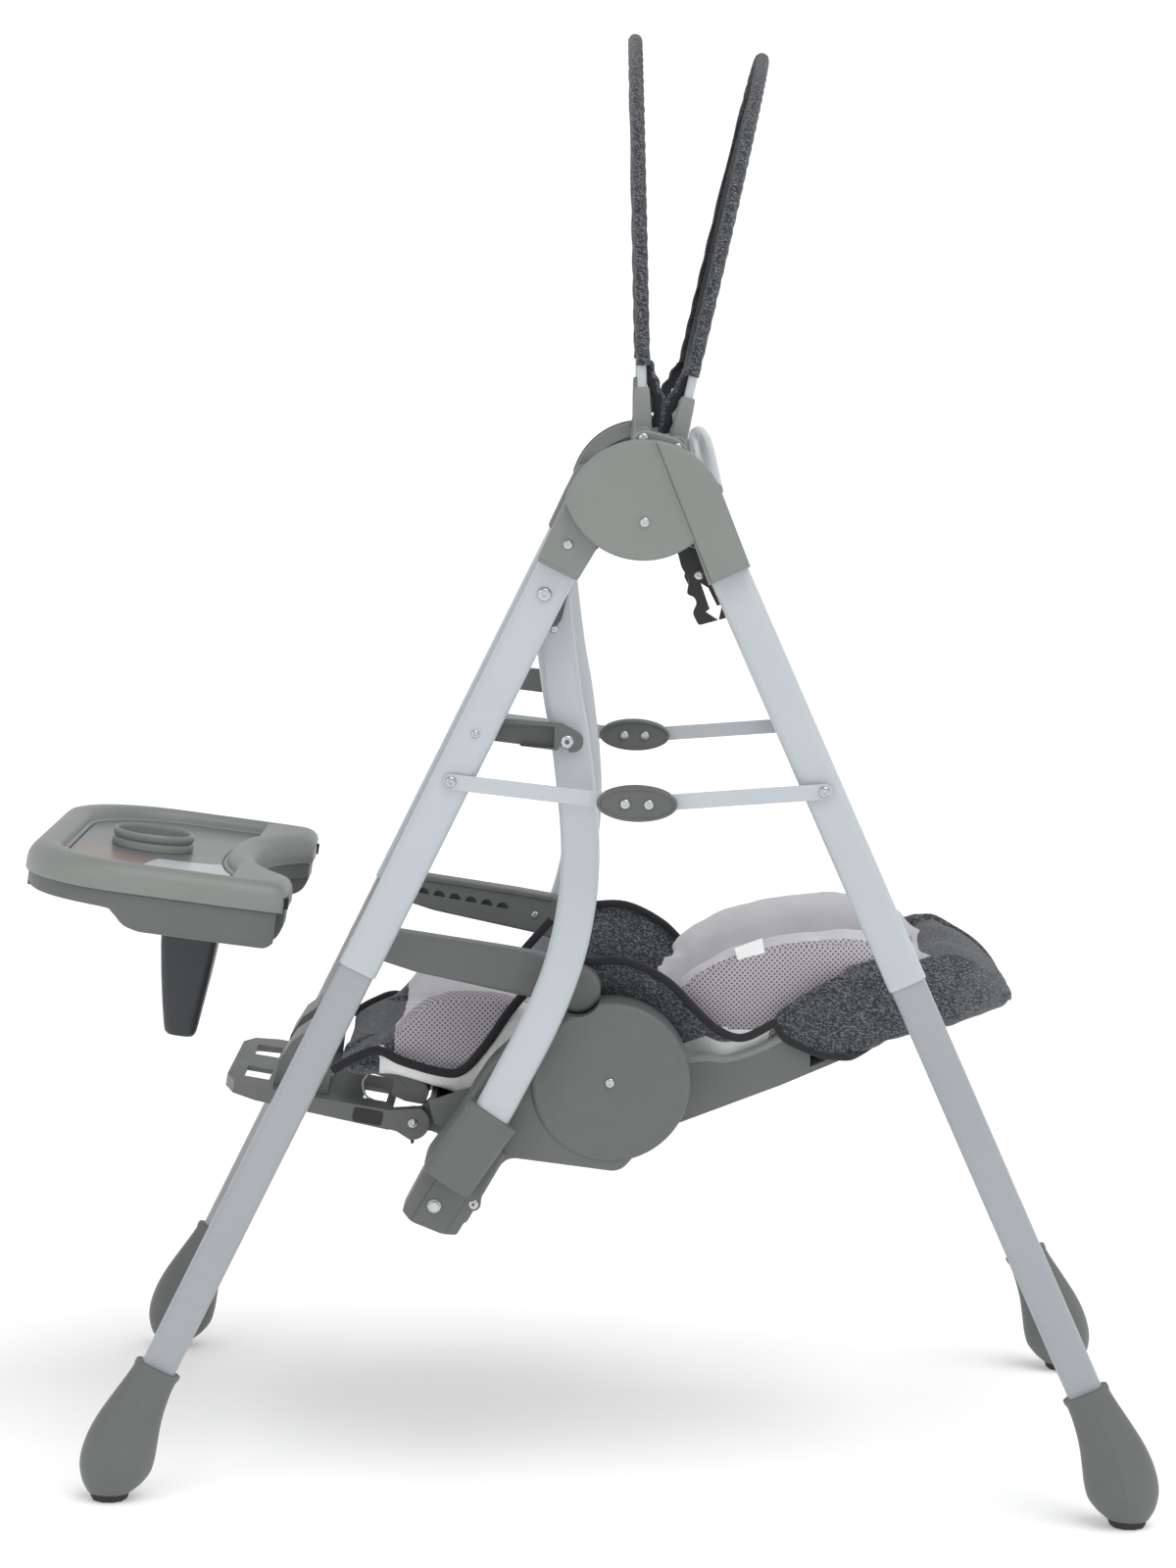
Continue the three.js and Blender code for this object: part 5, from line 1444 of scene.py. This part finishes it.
def canopy(end, spot, body, toward):
    """Fabric stretched in a hoop: a sleeve with a seam round the wire, a bowed panel and tails."""
    sleeve = [(toward * 1.2, y, h) for y, h in hoop_path(160, SLEEVE_START)]
    ring = [(a * 7.2, b * 6.6) for a, b in circle(1.0, 18)]
    made = sweep(sleeve, ring, (1, 0, 0))
    points = [(x + 0.5 * math.sin(y * 0.35 + h * 0.28), y, h) for x, y, h in made[0]]
    piece(f"{end}_canopy_sleeve", lean((points, made[1]), spot), MELANGE, body, smooth=50)
    seam = [(toward * 1.2, y, h) for y, h in hoop_path(160, SLEEVE_START, 8.0)]
    piece(f"{end}_canopy_seam", lean(sweep(seam, circle(2.4, 10), (1, 0, 0)), spot), BINDING, body)
    panel(end, spot, body, toward)
    for side, s in SIDES:
        tail = smooth_path([(toward * 3, 70), (toward * 9, 50), (toward * 15, 30), (toward * 13, 8)], 6)
        path = [(x + 1.2 * math.sin(h * 0.4), s * (HOOP_Y - 6), h) for x, h in tail]
        piece(f"{side}_{end}_canopy_tail", lean(sweep(path, rounded_ring(10, 6, 2.8, 4), (0, 1, 0)), spot),
              BINDING, body, smooth=50)
        cord = [(x + toward * 4.5, y + s * 1.5, h) for x, y, h in path]
        piece(f"{side}_{end}_canopy_cord", lean(sweep(cord, circle(2.3, 8), (0, 1, 0)), spot), MELANGE, body)


PANEL_COLUMNS, PANEL_ROWS = 36, 22


def panel(end, spot, body, toward):
    """The hoop's fabric, bowed outwards, loose at its lower edge and hemmed there."""
    lines = []
    for r in range(PANEL_ROWS + 1):
        k = r / PANEL_ROWS
        h = 62 + (HOOP_HEIGHT - 9 - 62) * (1 - (1 - k) ** 1.6)
        rise = min(1.0, max(0.0, (h - 54) / (HOOP_HEIGHT - 5 - 54)))
        half = (HOOP_Y - 6) * (1 - rise ** HOOP_POWER) ** (1 / HOOP_POWER)
        line = []
        for c in range(PANEL_COLUMNS + 1):
            j = 2 * c / PANEL_COLUMNS - 1
            bow = 6.5 * (1 - j * j) * math.sin(math.pi * (0.12 + 0.88 * k))
            fold = 0.8 * math.sin(9 * j + 4 * k) * (1 - k) + 0.5 * math.sin(17 * j * (1 - k) + 2)
            sag = -10 * (1 - j * j) * (1 - k) ** 3
            line.append((toward * (bow + fold), j * half, h + sag))
        lines.append(line)
    obj = new_object(f"{end}_canopy_panel", lean(grid(lines), spot))
    thicken(obj, 1.4)
    dress(obj, MELANGE, 60)
    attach(obj, body)
    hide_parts(f"{end}_canopy")
    hem = [(toward * 1.0, -(HOOP_Y - 12) + (HOOP_Y - 12) * c / 18, 62 - 10 * (1 - (c / 18 - 1) ** 2))
           for c in range(37)]
    piece(f"{end}_canopy_hem", lean(sweep(hem, rounded_ring(7, 3.4, 1.6, 3), (1, 0, 0)), spot), BINDING, body)


# ---- everything else ----
def top_tube():
    """Arched tube that joins the hubs."""
    path = []
    for i in range(61):
        t = i / 30 - 1
        bow = 1 - t ** 4
        path.append((64 - 8 * bow, t * 280.7, HUB[1] + 29 + 40 * bow))
    rings = []
    for i, p in enumerate(path):
        ahead = Vector(path[min(i + 1, 60)]) - Vector(path[max(i - 1, 0)])
        ahead.x = 0
        u = Vector((1, 0, 0))
        v = ahead.cross(u).normalized()
        rings.append([Vector(p) + u * a + v * b for a, b in circle(9.5, 24)])
    piece("arch_tube", loft(rings), TUBE, "rear_frame", ["top_tube"])


def crossbar(end, way):
    """Straight tube between two lower legs."""
    x, z = leg_point(way, 900)
    reach = LEG_Y - LOWER_TUBE[1] / 2 - 0.3
    rings = [[(x + a, y, z + b) for a, b in circle(11, 28)] for y in (-reach, reach)]
    piece(f"{end}_cross_tube", loft(rings), TUBE, f"{end}_frame", [f"{end}_crossbar"])


camera()
studio()
for side_name, sign in SIDES:
    for end_name, way_sign in LEGS:
        leg(side_name, sign, end_name, way_sign)
    hub(side_name, sign)
    brace(side_name, sign)
    latch(side_name, sign)
    swing_lock(side_name, sign)
    swing_arm(side_name, sign)
for side_name, sign in SIDES:
    side_housing(side_name, sign)
    armrest(side_name, sign)
    side_flap(side_name, sign)
    seat_bindings(side_name, sign)
for end_name, way_sign in LEGS:
    crossbar(end_name, way_sign)
hoop("front", FRONT_HOOP)
hoop("rear", REAR_HOOP)
top_tube()
shells()
leg_rest()
tray()
seat_cushion()
back_cushion()
back_pocket()
